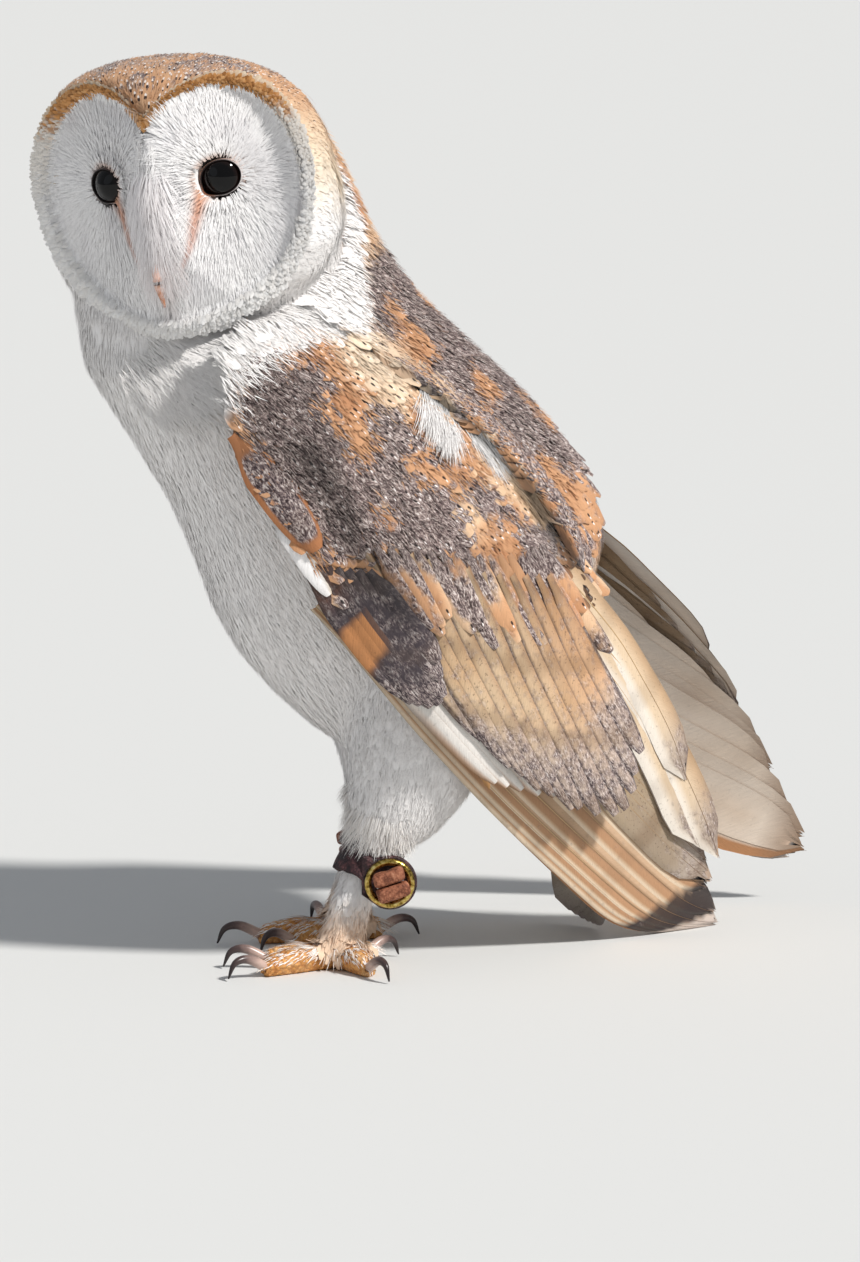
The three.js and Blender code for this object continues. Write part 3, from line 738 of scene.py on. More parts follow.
# Feathers that follow the skin in the direction that flow gives, rising off it from root to tip.
def onSkin(roots, flow, length, half, rise, steps, columns, profile, camber=0.25, swing=0.0):
    count = len(roots)
    centre, normal, along = np.empty((3, count, steps, 3))
    swung = rng.normal(0, 1, count)[:, None] * swing
    p = roots
    for k in range(steps):
        where, at = nearest(skinTree, p)
        n = faceNormals[at]
        d = flow(where, n)
        d = unit(d - n * (d * n).sum(-1, keepdims=True))
        d = unit(d + np.cross(n, d) * swung)
        if k:
            d = unit(0.5 * d + 0.5 * along[:, k - 1])
        centre[:, k], normal[:, k], along[:, k] = where, n, d
        p = where + d * (length / (steps - 1))[:, None]
    v = np.linspace(0, 1, steps)
    out = rise[0][:, None] + (rise[1] - rise[0])[:, None] * v
    side = unit(np.cross(normal, along))
    wide = half[:, None] * profile(v)
    u = np.linspace(-1, 1, columns)
    flat = centre + normal * out[..., None]
    points = flat[:, :, None] + side[:, :, None] * (wide[..., None] * u)[..., None]
    points = points - normal[:, :, None] * (camber * wide[..., None] * u**2)[..., None]
    return points, np.broadcast_to(normal[:, :, None], points.shape)


# A place on an unwrap of the skin: round and down an upright axis through it.
def chartOf(p, middle, low, high):
    turned = np.arctan2(p[:, 0] - middle[0], p[:, 1] - middle[1]) / (2 * math.pi) + 0.5
    return np.stack([0.01 + 0.98 * turned, 0.01 + 0.98 * (p[:, 2] - low) / (high - low)], -1)


def spread(low, high, count):
    return low + (high - low) * rng.random(count)


faceCentres = skinPlaces[skinFaces].mean(1)
faceLabels = solidLabels[nearest(solidTree, faceCentres)[1]]
inHead = toHead(faceCentres)
discFace = (bandShare(inHead[:, 0], inHead[:, 2]) < 0.95) & (inHead[:, 1] < 8)
wingNames = ["wing_l", "wing_r", "secondaries_l", "secondaries_r"]
wingTree = treeOf(*solidOf(wingNames, 0)[:2])


# What lies close under a wing doesn't show.
def showing(places, normals):
    room, rays = 14, zip(places.tolist(), normals.tolist())
    return np.array(
        [wingTree.ray_cast(Vector(p) + Vector(n) * 0.5, n, room)[0] is None for p, n in rays], bool
    )


def isLabel(*names):
    return np.isin(faceLabels, [bare.index(n) for n in names])


# The face: fine feathers spread from the eyes, and run down the ridge over the bill.
def faceTurn(x, z):
    side = np.where(x < 0, -1, 1)
    fromEye = np.stack([x - side * eyeSpacing / 2, z], -1)
    down = unit(np.stack([side * (0.1 + 0.008 * (10 - z)), -1 + 0 * z], -1))
    ridge = np.exp(-((x / 7.0) ** 2)) * smooth(24, 12, z)
    brow = np.exp(-((x / 8.0) ** 2)) * smooth(12, 24, z)
    up = np.stack([side * 0.3, 1 + 0 * z], -1)
    d = unit(fromEye) * (1 - ridge - brow)[:, None] + down * ridge[:, None] + up * brow[:, None]
    return np.arctan2(d[:, 1], d[:, 0]), np.hypot(fromEye[:, 0], fromEye[:, 1])


# A rust streak runs from the inner corner of each eye to the bill, wide and orange at the eye.
streakAt = reader([-31, -26, -20, -12.7, -4.3, 0], [5.6, 8, 10.8, 12.8, 15.6, 17])


def faceTint(x, z):
    a = np.abs(x)
    lump = cloud(np.stack([x, z, 0 * x], -1), 7, 9)
    tint = mix("FAF8F7", "EEEBEC", 0.5 * smooth(0.45, 0.9, lump))
    far = np.hypot(a - eyeSpacing / 2, z)
    reach = np.clip((-3 - z) / 26, 0, 1)
    streak = np.exp(-(((a - streakAt(z)) / (2.2 - 1.5 * reach)) ** 2))
    streak = streak * smooth(2, -3, z) * smooth(-31, -25, z)
    tint = mix(tint, mix("E39A68", "C2806C", reach), (0.9 - 0.4 * reach) * streak)
    tint = mix(tint, "C08E6E", 0.6 * smooth(8.6, 6.8, far) * smooth(-8, 6, (eyeSpacing / 2 - a) + 0.6 * z))
    ridge = np.exp(-((a / 3.0) ** 2)) * smooth(-6, -16, z)
    return mix(tint, "D9C9C6", 0.3 * ridge)


# Which way the disc faces at a place, with its relief a little heightened as its feathers do.
def faceNormal(x, z):
    forward = unit(faceMap(x, z, 0 * x + 1) - faceMap(x, z, 0 * x))
    right = faceMap(x + 1, z, 0 * x) - faceMap(x - 1, z, 0 * x)
    up = faceMap(x, z + 1, 0 * x) - faceMap(x, z - 1, 0 * x)
    n = unit(np.cross(right, up))
    n = n * np.sign((n * forward).sum(-1, keepdims=True))
    return unit(n / np.maximum((n * forward).sum(-1, keepdims=True), 0.2) * 1.6 - 0.6 * forward)


def faceChart(x, z):
    return np.stack([(x + 60) / 120, (z + 62) / 108], -1)


def faceGroup(count, low, sizes, halves, rise, keep=None, steps=4, shade=1.0, even=0.6):
    count = int(count * share)
    x, z = spread(-50, 50, count), spread(-52, 36, count)
    turn, far = faceTurn(x, z)
    brow = np.exp(-((x / 9.0) ** 2)) * smooth(6, 14, z)
    ok = (bandShare(x, z) < 0.95 - 0.08 * smooth(10, 20, z) - 0.14 * brow) & (far > low)
    if keep is not None:
        ok = ok & keep(x, z)
    x, z, turn, far, brow = x[ok], z[ok], turn[ok], far[ok], brow[ok]
    count = len(x)
    turn = turn + rng.normal(0, 0.14, count)
    grown = smooth(6, 18, far)
    length = (sizes[0] + (sizes[1] - sizes[0]) * grown) * spread(0.75, 1.2, count)
    # Near the rim they end inside it.
    length = length * (1 - 0.6 * smooth(0.72, 0.9, bandShare(x, z))) * (1 - 0.5 * brow)
    half = (halves[0] + (halves[1] - halves[0]) * grown) * spread(0.8, 1.2, count)
    atEye = 1.7 * smooth(9.5, 6.5, far)
    ends = np.stack([rise[0] + atEye, rise[1] * spread(0.4, 1.3, count) + 0.5 * atEye])
    points, _, a, b = onMap(faceMap, x, z, turn, length, half, ends, steps, 2, pointed, 0.0, None, 0.06)
    marks, shade = single(count), (shade * spread(0.94, 1.03, count))[:, None, None]
    return feathers(
        points, faceNormal(a, b), even, faceTint(a, b), marks, half, length, faceChart(x, z), shade
    )


# Marks of feathers with no pattern of their own.
def single(count):
    return marked((count, 1, 1), chance=rng.random((count, 1, 1)))


# A close coat, fine barbs over it, and longer ones down the
# ridge. `low` is the nearest they come to an eye's middle.
onRidge = lambda x, z: (np.abs(x) < 9) & (z < 22)
faceLook = [
    dict(
        count=17000, low=6.5, sizes=(3.4, 8.5), halves=(0.4, 0.85), rise=(-1.2, 0.1),
        steps=3, shade=0.97, even=0.8,
    ),
    dict(count=24000, low=6.2, sizes=(2.8, 8.0), halves=(0.13, 0.24), rise=(-0.8, 0.55)),
    dict(count=8000, low=6.6, sizes=(3.0, 9.5), halves=(0.13, 0.2), rise=(-0.6, 1.5), keep=onRidge),
]
newPiece("face_feathers", [faceGroup(**look) for look in faceLook], downMaterial)

# Bristles hang over the root of the bill.
bristles = {"count": 2600, "from": 6, "to": -28, "length": (8, 13), "half": (0.11, 0.2)}
count = int(bristles["count"] * share)
z = spread(bristles["to"], bristles["from"], count)
x = rng.normal(0, 1, count) * 2.7 - 0.4
turn = -math.pi / 2 + 0.055 * x + rng.normal(0, 0.13, count)
length, half = spread(*bristles["length"], count), spread(*bristles["half"], count)
ends = np.stack([0 * x - 0.3, spread(1.5, 6.5, count) * np.exp(-((x / 5) ** 2))])
points, _, a, b = onMap(faceMap, x, z, turn, length, half, ends, 5, 2, pointed, 0.0, None, 0.06)
tint = mix("F4F0F0", "CDB9B2", 0.35 * rng.random(count) * smooth(-8, -24, z))[:, None, None]
hairs = feathers(points, faceNormal(a, b), 0.6, tint, single(count), half, length, faceChart(x, z))
newPiece("bill_bristles", [hairs], downMaterial)


# The ruff: rows of short stiff feathers round the disc, brown
# over the brow, and white curled tufts at the sides and below.
def ruffGroup(row, browns, count, reach, sizes, halves, rise):
    angle = (np.arange(count) + rng.random(count) * 0.8) / count * 2 * math.pi - math.pi
    # There are fewer rows at the sides.
    angle = angle[(row > 2) | (np.abs(np.sin(angle) + 0.1) > 0.45 * rng.random(count))]
    count = len(angle)
    size = bandSize(angle) * reach * spread(0.992, 1.008, count)
    x, z = np.cos(angle) * size, np.sin(angle) * size - 6
    below = smooth(-6, -30, z)
    turn = angle + rng.normal(0, 0.16, count) + 0.3 * below * rng.normal(0, 1, count)
    length, half = spread(*sizes, count) * (1 + 0.45 * below), spread(*halves, count) * (
        0.8 + 0.4 * below * rng.random(count)
    )
    ends = np.stack([0 * x + rise[0], rise[1] * spread(0.7, 1.3, count) + 0.7 * below * rng.random(count)])
    points, normals, a, b = onMap(faceMap, x, z, turn, length, half, ends, 4, 3, rounded, 0.35)
    normals = unit(
        normals + 0.018 * x[:, None, None, None] * unit(faceMap(a + 1, b, 0 * a) - faceMap(a, b, 0 * a))
    )
    notch = np.exp(-((x / 5.0) ** 2)) * smooth(8, 14, z)
    top = np.maximum(smooth(14, 23, z + 2.0 * rng.normal(0, 1, count)), notch)
    pick = rng.random(count)
    brown = mix(
        "CB8E52", np.where(pick[:, None] < 0.3, linear("9A6636"), linear("DDA870")), rng.random(count)
    )
    side = mix("F8F6F4", "cream", 0.12 * pick + 0.3 * smooth(-10, 14, z))
    tint = mix(side, brown if browns else mix("cream", "paleGold", pick), top)
    v = np.linspace(0, 1, 4)[None, :, None]
    # Lower feathers are darker towards their roots: painted shade between the curled tufts; the random part
    # is tone that differs from feather to feather.
    shade = 1 - 0.2 * below[:, None, None] * (1 - v) - 0.12 * rng.random(count)[:, None, None]
    marks, tint, shade = single(count), tint[:, None, None], shade * np.ones((1, 1, 3))
    return feathers(points, normals, 0.55, tint, marks, half, length, faceChart(x, z), shade)


ruffLook = [
    dict(count=380, reach=0.885, sizes=(2.4, 3.2), halves=(0.8, 1.1), rise=(-0.3, 0.9)),
    dict(count=420, reach=0.91, sizes=(2.4, 3.2), halves=(0.8, 1.1), rise=(-0.2, 1.0)),
    dict(count=440, reach=0.935, sizes=(2.4, 3.2), halves=(0.8, 1.1), rise=(-0.2, 1.0)),
    dict(count=460, reach=0.96, sizes=(2.2, 3.0), halves=(0.8, 1.1), rise=(-0.2, 0.8)),
    dict(count=460, reach=0.98, sizes=(2.0, 2.8), halves=(0.8, 1.1), rise=(-0.2, 0.7)),
    dict(count=420, reach=1.002, sizes=(2.0, 2.8), halves=(0.9, 1.3), rise=(-0.5, 0.3)),
]
ruff = [ruffGroup(row, browns=row < 5, **look) for row, look in enumerate(ruffLook)]
newPiece("ruff_feathers", ruff, crownMaterial)


# Crown, nape and the sides of the head.
def headFlow(p, n):
    h = toHead(p)
    back = np.stack([0.25 * h[:, 0] / 50, 1 + 0 * h[:, 0], 0.25 * smooth(4, -6, h[:, 1])], -1)
    downward = 0 * h + [0, 0.3, -1]
    t = smooth(6, 52, h[:, 1] - 0.3 * h[:, 2])
    return mix(back, downward, t) @ headTurn.T


def bodyFlow(p, n):
    down = 0 * p + [0, 0.62, -0.78]
    front = np.stack([0.02 * p[:, 0] / 10, 0.1 + 0 * p[:, 0], -1 + 0 * p[:, 0]], -1)
    return mix(front, down, smooth(235, 150, p[:, 2]))


def legFlow(p, n):
    return 0 * p + [0, -0.25, -1]


# Feathers in both of their kinds over part of the skin: broad vanes, and fine loose barbs over them.
def coat(mask, looks, flow, marking, chart, hidden=True):
    groups = []
    for kind, look in looks.items():
        profile, columns = (rounded, 3) if kind == "vanes" else (pointed, 2)
        roots = scatter(mask, look["density"])
        where, at = nearest(skinTree, roots)
        if hidden:
            roots = roots[showing(where, faceNormals[at])]
        count = len(roots)
        length, half = spread(*look["length"], count), spread(*look["half"], count)
        rise = np.stack([look["root"] + 0 * length, spread(*look["tip"], count)])
        camber, swing = look.get("camber", 0), look["swing"]
        points, normals = onSkin(
            roots, flow, length, half, rise, look["steps"], columns, profile, camber, swing
        )
        tint, marks, shade = marking(points + rng.normal(0, 1.2, (count, 1, 1, 3)))
        marks = marks.copy()
        marks[..., 1] = (rng.random(count) < marks[:, -1, :, 1].mean(-1))[:, None, None] * (columns > 2)
        marks[..., 3] = rng.random(count)[:, None, None]
        shade = shade * spread(0.95, 1.02, count)[:, None, None]
        groups.append(
            feathers(points, normals, 0.75, tint, marks, half, length, chartOf(roots, *chart), shade)
        )
    return groups


# In each of these, density is in feathers on a square millimetre, and root and tip are how high they lie.
crownLook = {
    "vanes": dict(
        density=0.36, length=(5, 8), half=(1.2, 1.8), root=-0.2, tip=(0.7, 1.2),
        steps=5, camber=0.25, swing=0.12,
    ),
    "barbs": dict(
        density=0.7, length=(3.5, 6.5), half=(0.15, 0.28), root=0.1, tip=(0.8, 1.5),
        steps=3, swing=0.2,
    ),
}
napeLook = {
    "barbs": dict(
        density=2.0, length=(11, 18), half=(0.16, 0.3), root=0.2, tip=(1.2, 2.6),
        steps=5, swing=0.12,
    ),
}
headChart = ((12, -42), 205, 308)
crownMask = isLabel("head") & ~discFace
crown = coat(crownMask, crownLook, headFlow, headMarkings, headChart)
# Long soft feathers carry the head's sides over on to the neck.
neckTree = treeOf(skinPlaces, skinFaces[isLabel("neck")])
toNeck = np.array([neckTree.find_nearest(p)[3] for p in faceCentres[crownMask].tolist()])
napeMask = crownMask.copy()
napeMask[crownMask] = (toNeck < 4 + 14 * rng.random(len(toNeck))) & (inHead[crownMask][:, 1] > 6)
toBody = lambda p, n: mix(headFlow(p, n), bodyFlow(p, n), 0.6)
crown += coat(napeMask, napeLook, toBody, headMarkings, headChart, False)
newPiece("head_feathers", crown, crownMaterial)

# Neck and breast, belly, and legs.
neckLook = {
    "vanes": dict(
        density=0.2, length=(11, 16), half=(2.4, 3.6), root=-0.2, tip=(1.0, 1.5),
        steps=4, camber=0.2, swing=0.08,
    ),
    "barbs": dict(
        density=2.4, length=(6, 10), half=(0.17, 0.3), root=0.5, tip=(1.5, 2.3),
        steps=4, swing=0.16,
    ),
}
neck = coat(isLabel("neck"), neckLook, bodyFlow, bodyMarkings, ((0, -10), 150, 300))
newPiece("neck_feathers", neck, downMaterial)

bodyLook = {
    "vanes": dict(
        density=0.15, length=(13, 19), half=(3.0, 4.4), root=-0.2, tip=(1.0, 1.5),
        steps=4, camber=0.2, swing=0.08,
    ),
    "barbs": dict(
        density=1.1, length=(8, 14), half=(0.24, 0.42), root=0.5, tip=(1.5, 2.3),
        steps=3, swing=0.16,
    ),
}
trunkChart = ((0, 30), 50, 215)
trunkMask = isLabel("trunk")
trunk = coat(trunkMask, bodyLook, bodyFlow, bodyMarkings, trunkChart)
newPiece("body_feathers", trunk, downMaterial)

# Long loose feathers over the rump, between the wings.
rumpLook = {
    "vanes": dict(
        density=0.2, length=(14, 20), half=(3.2, 4.6), root=-0.1, tip=(1.2, 1.8),
        steps=5, camber=0.2, swing=0.1,
    ),
    "barbs": dict(
        density=1.1, length=(10, 17), half=(0.2, 0.36), root=0.5, tip=(1.8, 3.0),
        steps=4, swing=0.2,
    ),
}
rumpMask = trunkMask & (faceCentres[:, 1] > 52) & (faceNormals @ np.array([0, 0.5, 0.85]) > 0.1)
rump = coat(rumpMask, rumpLook, bodyFlow, bodyMarkings, trunkChart, False)
newPiece("rump_feathers", rump, downMaterial)

legLook = {
    "vanes": dict(
        density=0.25, length=(8, 12), half=(1.6, 2.4), root=0.2, tip=(1.4, 2.0),
        steps=4, camber=0.2, swing=0.1,
    ),
    "barbs": dict(
        density=2.0, length=(5, 9), half=(0.18, 0.32), root=0.3, tip=(1.5, 2.6),
        steps=3, swing=0.25,
    ),
}
legChart = ((0, 20), 0, 110)
legMask = isLabel("thigh_l", "thigh_r", "tarsus_l", "tarsus_r")
legFeathers = coat(legMask, legLook, legFlow, bodyMarkings, legChart, False)
newPiece("leg_feathers", legFeathers, downMaterial)


# White down hangs over the tops of the anklets, and bristles run over the feet to the roots of the claws.
def strands(roots, way, length, half, bend, tint, normal, even=0.5):
    count = len(roots)
    v = np.linspace(0, 1, 4)[None, :, None]
    middle = roots[:, None] + way[:, None] * length[:, None, None] * v + bend[:, None] * v**2
    side = unit(np.cross(way, normal))
    wide = half[:, None] * pointed(v[0, :, 0])
    points = middle[:, :, None] + side[:, None, None] * (wide[..., None] * np.array([-1.0, 1.0]))[..., None]
    normals = np.broadcast_to(normal[:, None, None], points.shape)
    return feathers(points, normals, even, tint, single(count), half, length, chartOf(roots, *legChart))


legDown = {"over anklet": 5200, "on foot": 1500, "on toes": 450}
hanging = []
for _, side, back, _ in legs:
    count = int(legDown["over anklet"] * share)
    angle, height = spread(0, 2 * math.pi, count), spread(42, 54, count)
    behind = back * np.clip((112 - height) / 68, 0, 1) + 14.8 + 0.3 * (height - 43)
    centre = np.stack([side * 21 + 0 * height, behind, height], -1)
    outward = np.stack([np.cos(angle), np.sin(angle), 0 * angle], -1)
    roots = centre + outward * (8.6 + 0.32 * (height - 42))[:, None]
    way = unit(outward * spread(0.25, 0.8, count)[:, None] + [0, -0.2, -1] + rng.normal(0, 0.09, (count, 3)))
    length = spread(4, 7, count) * smooth(30, 43, height)
    bend = outward * spread(-0.4, 1.2, count)[:, None] + np.array([0, 0, -0.8])
    tint = mix("white", "cream", 0.25 * rng.random(count))[:, None, None]
    hanging.append(strands(roots, way, length, spread(0.1, 0.2, count), bend, tint, outward, 0.9))
footMask = isLabel("foot_l", "foot_r") & (faceNormals[:, 2] > 0.15)
for kind, size in (("on foot", (3.5, 7.5)), ("on toes", (1.6, 3.6))):
    middles = np.array([footPlace(side, back, turn)([0, 0, 0])[:2] for _, side, back, turn in legs])
    away = np.min([np.hypot(faceCentres[:, 0] - m[0], faceCentres[:, 1] - m[1]) for m in middles], axis=0)
    mask = footMask & (away < 13 if kind == "on foot" else away > 8) & (faceCentres[:, 2] > 2.5)
    roots = scatter(mask, 1.0)
    pick = rng.permutation(len(roots))[: int(legDown[kind] * share * 2)]
    roots = roots[pick]
    if len(roots):
        where, at = nearest(skinTree, roots)
        normal = faceNormals[at]
        out = np.array([where[:, :2] - middles[k] for k in range(2)])
        first = np.linalg.norm(out[0], axis=1) < np.linalg.norm(out[1], axis=1)
        out = np.where(first[:, None], out[0], out[1])
        flow = unit(np.concatenate([out, -3 - 0 * out[:, :1]], 1) + rng.normal(0, 1.5, (len(out), 3)))
        way = unit(unit(flow - normal * (flow * normal).sum(-1, keepdims=True)) + normal * 0.35)
        tint = mix("white", "E8CDB0", 0.6 * rng.random(len(roots)))[:, None, None]
        length, half = spread(*size, len(roots)), spread(0.12, 0.24, len(roots))
        hanging.append(strands(where, way, length, half, [0, 0, -0.5] - normal * 0.3, tint, normal, 0.6))
for group in hanging:
    group["points"][..., 2] = np.maximum(group["points"][..., 2], 0.3)
newPiece("leg_down", hanging, downMaterial)


# The mantle lies over the trunk and the wings' upper edges, so its height is read from what is under it.
def drapeOver(place):
    alongs, acrosses = np.linspace(-40, 190, 47), np.linspace(-30, 110, 57)
    a, b = np.meshgrid(alongs, acrosses, indexing="ij")
    far, close = place(a, b, 0 * a + 45), place(a, b, 0 * a - 40)
    heights, found = np.full(a.shape, -12.0), np.zeros(a.shape)
    tree = treeOf(*solidOf(["neck", "trunk", *wingNames], 0)[:2])
    for i in range(a.shape[0]):
        for j in range(a.shape[1]):
            start, way = Vector(far[i, j]), Vector(close[i, j] - far[i, j])
            hit = tree.ray_cast(start, way, way.length)[0]
            if hit is not None:
                heights[i, j], found[i, j] = 45 - (hit - start).length, 1
    for _ in range(3):
        padded = np.pad(heights, 1, mode="edge")
        blur = (padded[:-2, 1:-1] + padded[2:, 1:-1] + padded[1:-1, :-2] + padded[1:-1, 2:]) / 4
        heights = np.maximum(heights - 0.6, 0.5 * heights + 0.5 * blur)

    def over(grid, at, across):
        i = np.clip((at - alongs[0]) / (alongs[1] - alongs[0]), 0, len(alongs) - 1.001)
        j = np.clip((across - acrosses[0]) / (acrosses[1] - acrosses[0]), 0, len(acrosses) - 1.001)
        i0, j0 = i.astype(int), j.astype(int)
        s, t = i - i0, j - j0
        top = grid[i0, j0] * (1 - t) + grid[i0, j0 + 1] * t
        return top * (1 - s) + (grid[i0 + 1, j0] * (1 - t) + grid[i0 + 1, j0 + 1] * t) * s

    return lambda at, across: over(heights, at, across), lambda at, across: over(found, at, across) > 0.9


def wingChart(a, b):
    return np.stack([(a + 45) / 330, (b + 40) / 160], -1)


# Feathers at places on a wing. Each takes its markings where it lies, give or take a little.
def covertGroup(
    place, a, b, turn, length, half, rise, base, steps=5, columns=3, profile=rounded, camber=0.3, tone=None,
    bow=0.0, even=0.45, wander=1.5
):
    count = len(a)
    points, normals, a3, b3 = onMap(
        place, a, b, turn, length, half, rise, steps, columns, profile, camber, base, bow
    )
    da, db = rng.normal(0, wander, (2, count, 1, 1))
    if tone is None:
        tint, marks, shade = wingMarkings(a3 + da, b3 + db)
        marks = marks.copy()
        marks[..., 1] = (rng.random(count) < marks[:, -1, columns // 2, 1])[:, None, None] * (columns > 2)
        # Gold shows round the edge of a feather that is grey in its middle.
        if columns > 2:
            middle = 0.3 * (0.45 - np.linspace(-1, 1, columns) ** 2)[None, None]
            middle = middle + rng.normal(0, 0.16, (count, 1, 1))
            marks[..., 0] = np.clip(marks[..., 0] + middle, 0, 1)
    else:
        v = np.linspace(0, 1, steps)[None, :, None] + 0 * a3
        u = np.linspace(-1, 1, columns)[None, None] + 0 * a3
        n = np.arange(count)[:, None, None] / max(count - 1, 1) + 0 * a3
        tint, marks, shade = tone(a3, b3, v, u, n)
        marks = marks.copy()
    marks[..., 3] = rng.random(count)[:, None, None]
    shade = shade * spread(0.92, 1.05, count)[:, None, None] * foldShade(a3, b3)
    return feathers(points, normals, even, tint, marks, half, length, wingChart(a, b), shade)


coverts = {"small": 1400, "barbs": 15500, "mantle": 800, "mantle barbs": 7000, "neck down": 4200}


def onArm(a, b):
    return (b > armLow(a) - 0.5) & (b < armHigh(a) + 1)


# The small coverts grow from the wrist to the middle of the wing.
def smallCoverts(place, count):
    a, b = spread(-26, 128, count), spread(-26, 64, count)
    ok = onArm(a, b) & ((b > -2 + 0.24 * (a - 56)) | (a < 48)) & (a < 90 + 0.6 * b)
    a, b = a[ok], b[ok]
    order = np.argsort(-a)
    a, b = a[order], b[order]
    size = smooth(-20, 100, a)
    turn = -0.1 + 0.1 * smooth(20, 60, b) - 0.25 * smooth(30, 0, a) * smooth(20, -5, b)
    turn = turn + rng.normal(0, 0.09, len(a))
    length = (9 + 11 * size) * spread(0.85, 1.15, len(a))
    half = (2.3 + 2.1 * size) * spread(0.85, 1.15, len(a))
    rise = np.stack([-1.9 + 0 * a, spread(0.8, 1.7, len(a))])
    return covertGroup(place, a, b, turn, length, half, rise, armOuter, 7, 5, wander=2.4)


def softBarbs(place, count):
    a, b = spread(-26, 124, count), spread(-26, 64, count)
    ok = onArm(a, b) & ((b > 2 + 0.24 * (a - 56)) | (a < 46)) & (a < 88 + 0.6 * b)
    a, b = a[ok], b[ok]
    turn = -0.1 + rng.normal(0, 0.17, len(a))
    length, half = spread(3, 6.5, len(a)), spread(0.15, 0.31, len(a))
    rise = np.stack([0 * a - 0.3, spread(0.5, 1.7, len(a))])
    return covertGroup(
        place, a, b, turn, length, half, rise, armOuter, 3, 2, pointed, 0.0, even=0.7, wander=2.2
    )


# A row of long coverts: each feather by its root and its tip on the wing.
def row(
    place, roots, tips, count, half, height, tone, net, bow=0.0, camber=0.25, layer=0.22, base=None, loose=0.8
):
    t = np.linspace(0, 1, count)
    r, e = evenly(roots)(t), evenly(tips)(t)
    d = e - r + rng.normal(0, 1, e.shape) * [loose, 0.25 * loose]
    length, turn = np.hypot(d[:, 0], d[:, 1]), np.arctan2(d[:, 1], d[:, 0])
    halves = np.interp(t, [0, 1], half) * spread(0.94, 1.06, count)
    lift = height + layer * np.arange(count)
    rise = np.stack([lift - 0.8, lift + 0.5])
    return covertGroup(
        place, r[:, 0], r[:, 1], turn, length, halves, rise, base or tailOff, *net, rounded, camber, tone,
        bow, 0.1
    )


# Beyond the arm the coverts lie on the flight feathers.
def tailOff(a, b):
    arm = armOuter(np.minimum(a, 149), b)
    return np.where(a < 150, arm, arm - (a - 150) * 0.016)


# In the tones below the third value is a shade factor. Where it darkens a feather's edges or one side of it,
# that is painted shade where the feathers overlap.
def greaterTone(a, b, v, u, n):
    base = mix("BC9674", "D9BC9A", smooth(0.5, -0.3, u))
    base = mix(base, "gold", 0.65 * smooth(0.55, 0.95, n) * smooth(0.95, 0.5, v))
    blot = cloud(np.stack([a, b, 0 * a], -1) / [2.5, 1, 1], 4, 3)
    base = mix(base, "B98A58", 0.35 * smooth(0.45, 0.8, blot))
    tip = smooth(0.64, 0.9, v + 0.12 * n + 0.12 * (blot - 0.5) + 0.03 * u)
    base = mix(base, "CDBBB0", 0.7 * tip)
    # Dark edges: partly each feather's own stippled border, partly painted shade in the gaps between
    # feathers.
    edge = smooth(0.5, 0.8, np.abs(u)) * smooth(0.1, 0.3, v)
    base = mix(base, "503E36", 0.85 * edge * (1 - 0.4 * tip))
    fleck = np.clip(0.22 + 0.34 * tip + 0.2 * edge + 0.1 * (blot - 0.5), 0, 1)
    return base, marked(a.shape, fleck, 0, 0.7), 1 - 0.2 * edge


def innerTone(a, b, v, u, n):
    pick = cloud(np.stack([17 * n, 3 * n, 0 * n], -1), 0.7, 5)
    base = mix(mix("gold", "paleGold", smooth(0.3, 0.7, pick)), "cream", 0.55 * smooth(0.6, 0.85, pick))
    tip = smooth(0.6, 0.84, v + 0.1 * (pick - 0.5))
    base = mix(base, "C09468", 0.4 * tip)
    edge = smooth(0.5, 0.9, np.abs(u))
    base = mix(base, "deepGold", 0.6 * edge)
    return base, marked(a.shape, 0.62 * tip, 0.9, 0.35), 1 - 0.3 * edge


def primaryCovertTone(a, b, v, u, n):
    block = smooth(68, 70, a + 1.5 * u) * smooth(86, 83, a + 1.5 * u + 6 * (n - 0.2)) * smooth(0.62, 0.45, n)
    early = smooth(66, 56, a) * smooth(-8, -14, b)
    base = mix(mix("slate", "6E4F45", early), "C98A58", block)
    tip = smooth(0.8, 0.93, v)
    fleck = np.clip(0.35 + 0.5 * tip - 0.9 * block, 0, 1)
    return base, marked(a.shape, fleck, 0, 0.25), 0.9 - 0.25 * smooth(0.3, 1, -u) * (1 - block)


def vaneTone(a, b, v, u, n):
    base = mix("E9E3DC", "B98E68", smooth(0.3, 0.9, np.abs(u)) * smooth(0.2, 0.7, v + 0.3 * n))
    return base, marked(a.shape, 0.1, 0, 0.2), 1 - 0.3 * smooth(0.7, 1, np.abs(u))


def alulaTone(a, b, v, u, n):
    # The lower one is white, the upper grey with a gold border.
    base = mix("deepGold", mix("white", "cream", smooth(0.1, 0.9, u)), smooth(0.5, 0.4, n))
    grey = smooth(0.8, 0.6, np.abs(u)) * smooth(0.94, 0.86, v) * smooth(0.1, 0.25, v) * (n > 0.5)
    return mix(base, "slate", 0.5 * grey), marked(a.shape, grey, 0, 0.2), 1 - 0.15 * grey


def scapularTone(a, b, v, u, n):
    low = smooth(0.35, -0.35, u + 0.5 * (v - 0.5))
    base = mix("gold", "deepGold", 0.5 * smooth(0.2, 0.7, n))
    base = mix(base, "cream", smooth(0.42, 0.2, np.abs(n - 0.3)) * low * 0.8)
    tip = smooth(0.7, 0.9, v)
    return base, marked(a.shape, np.clip(1 - low + 0.7 * tip, 0, 1), 0.8), 1 - 0.2 * smooth(0.6, 1, -u)


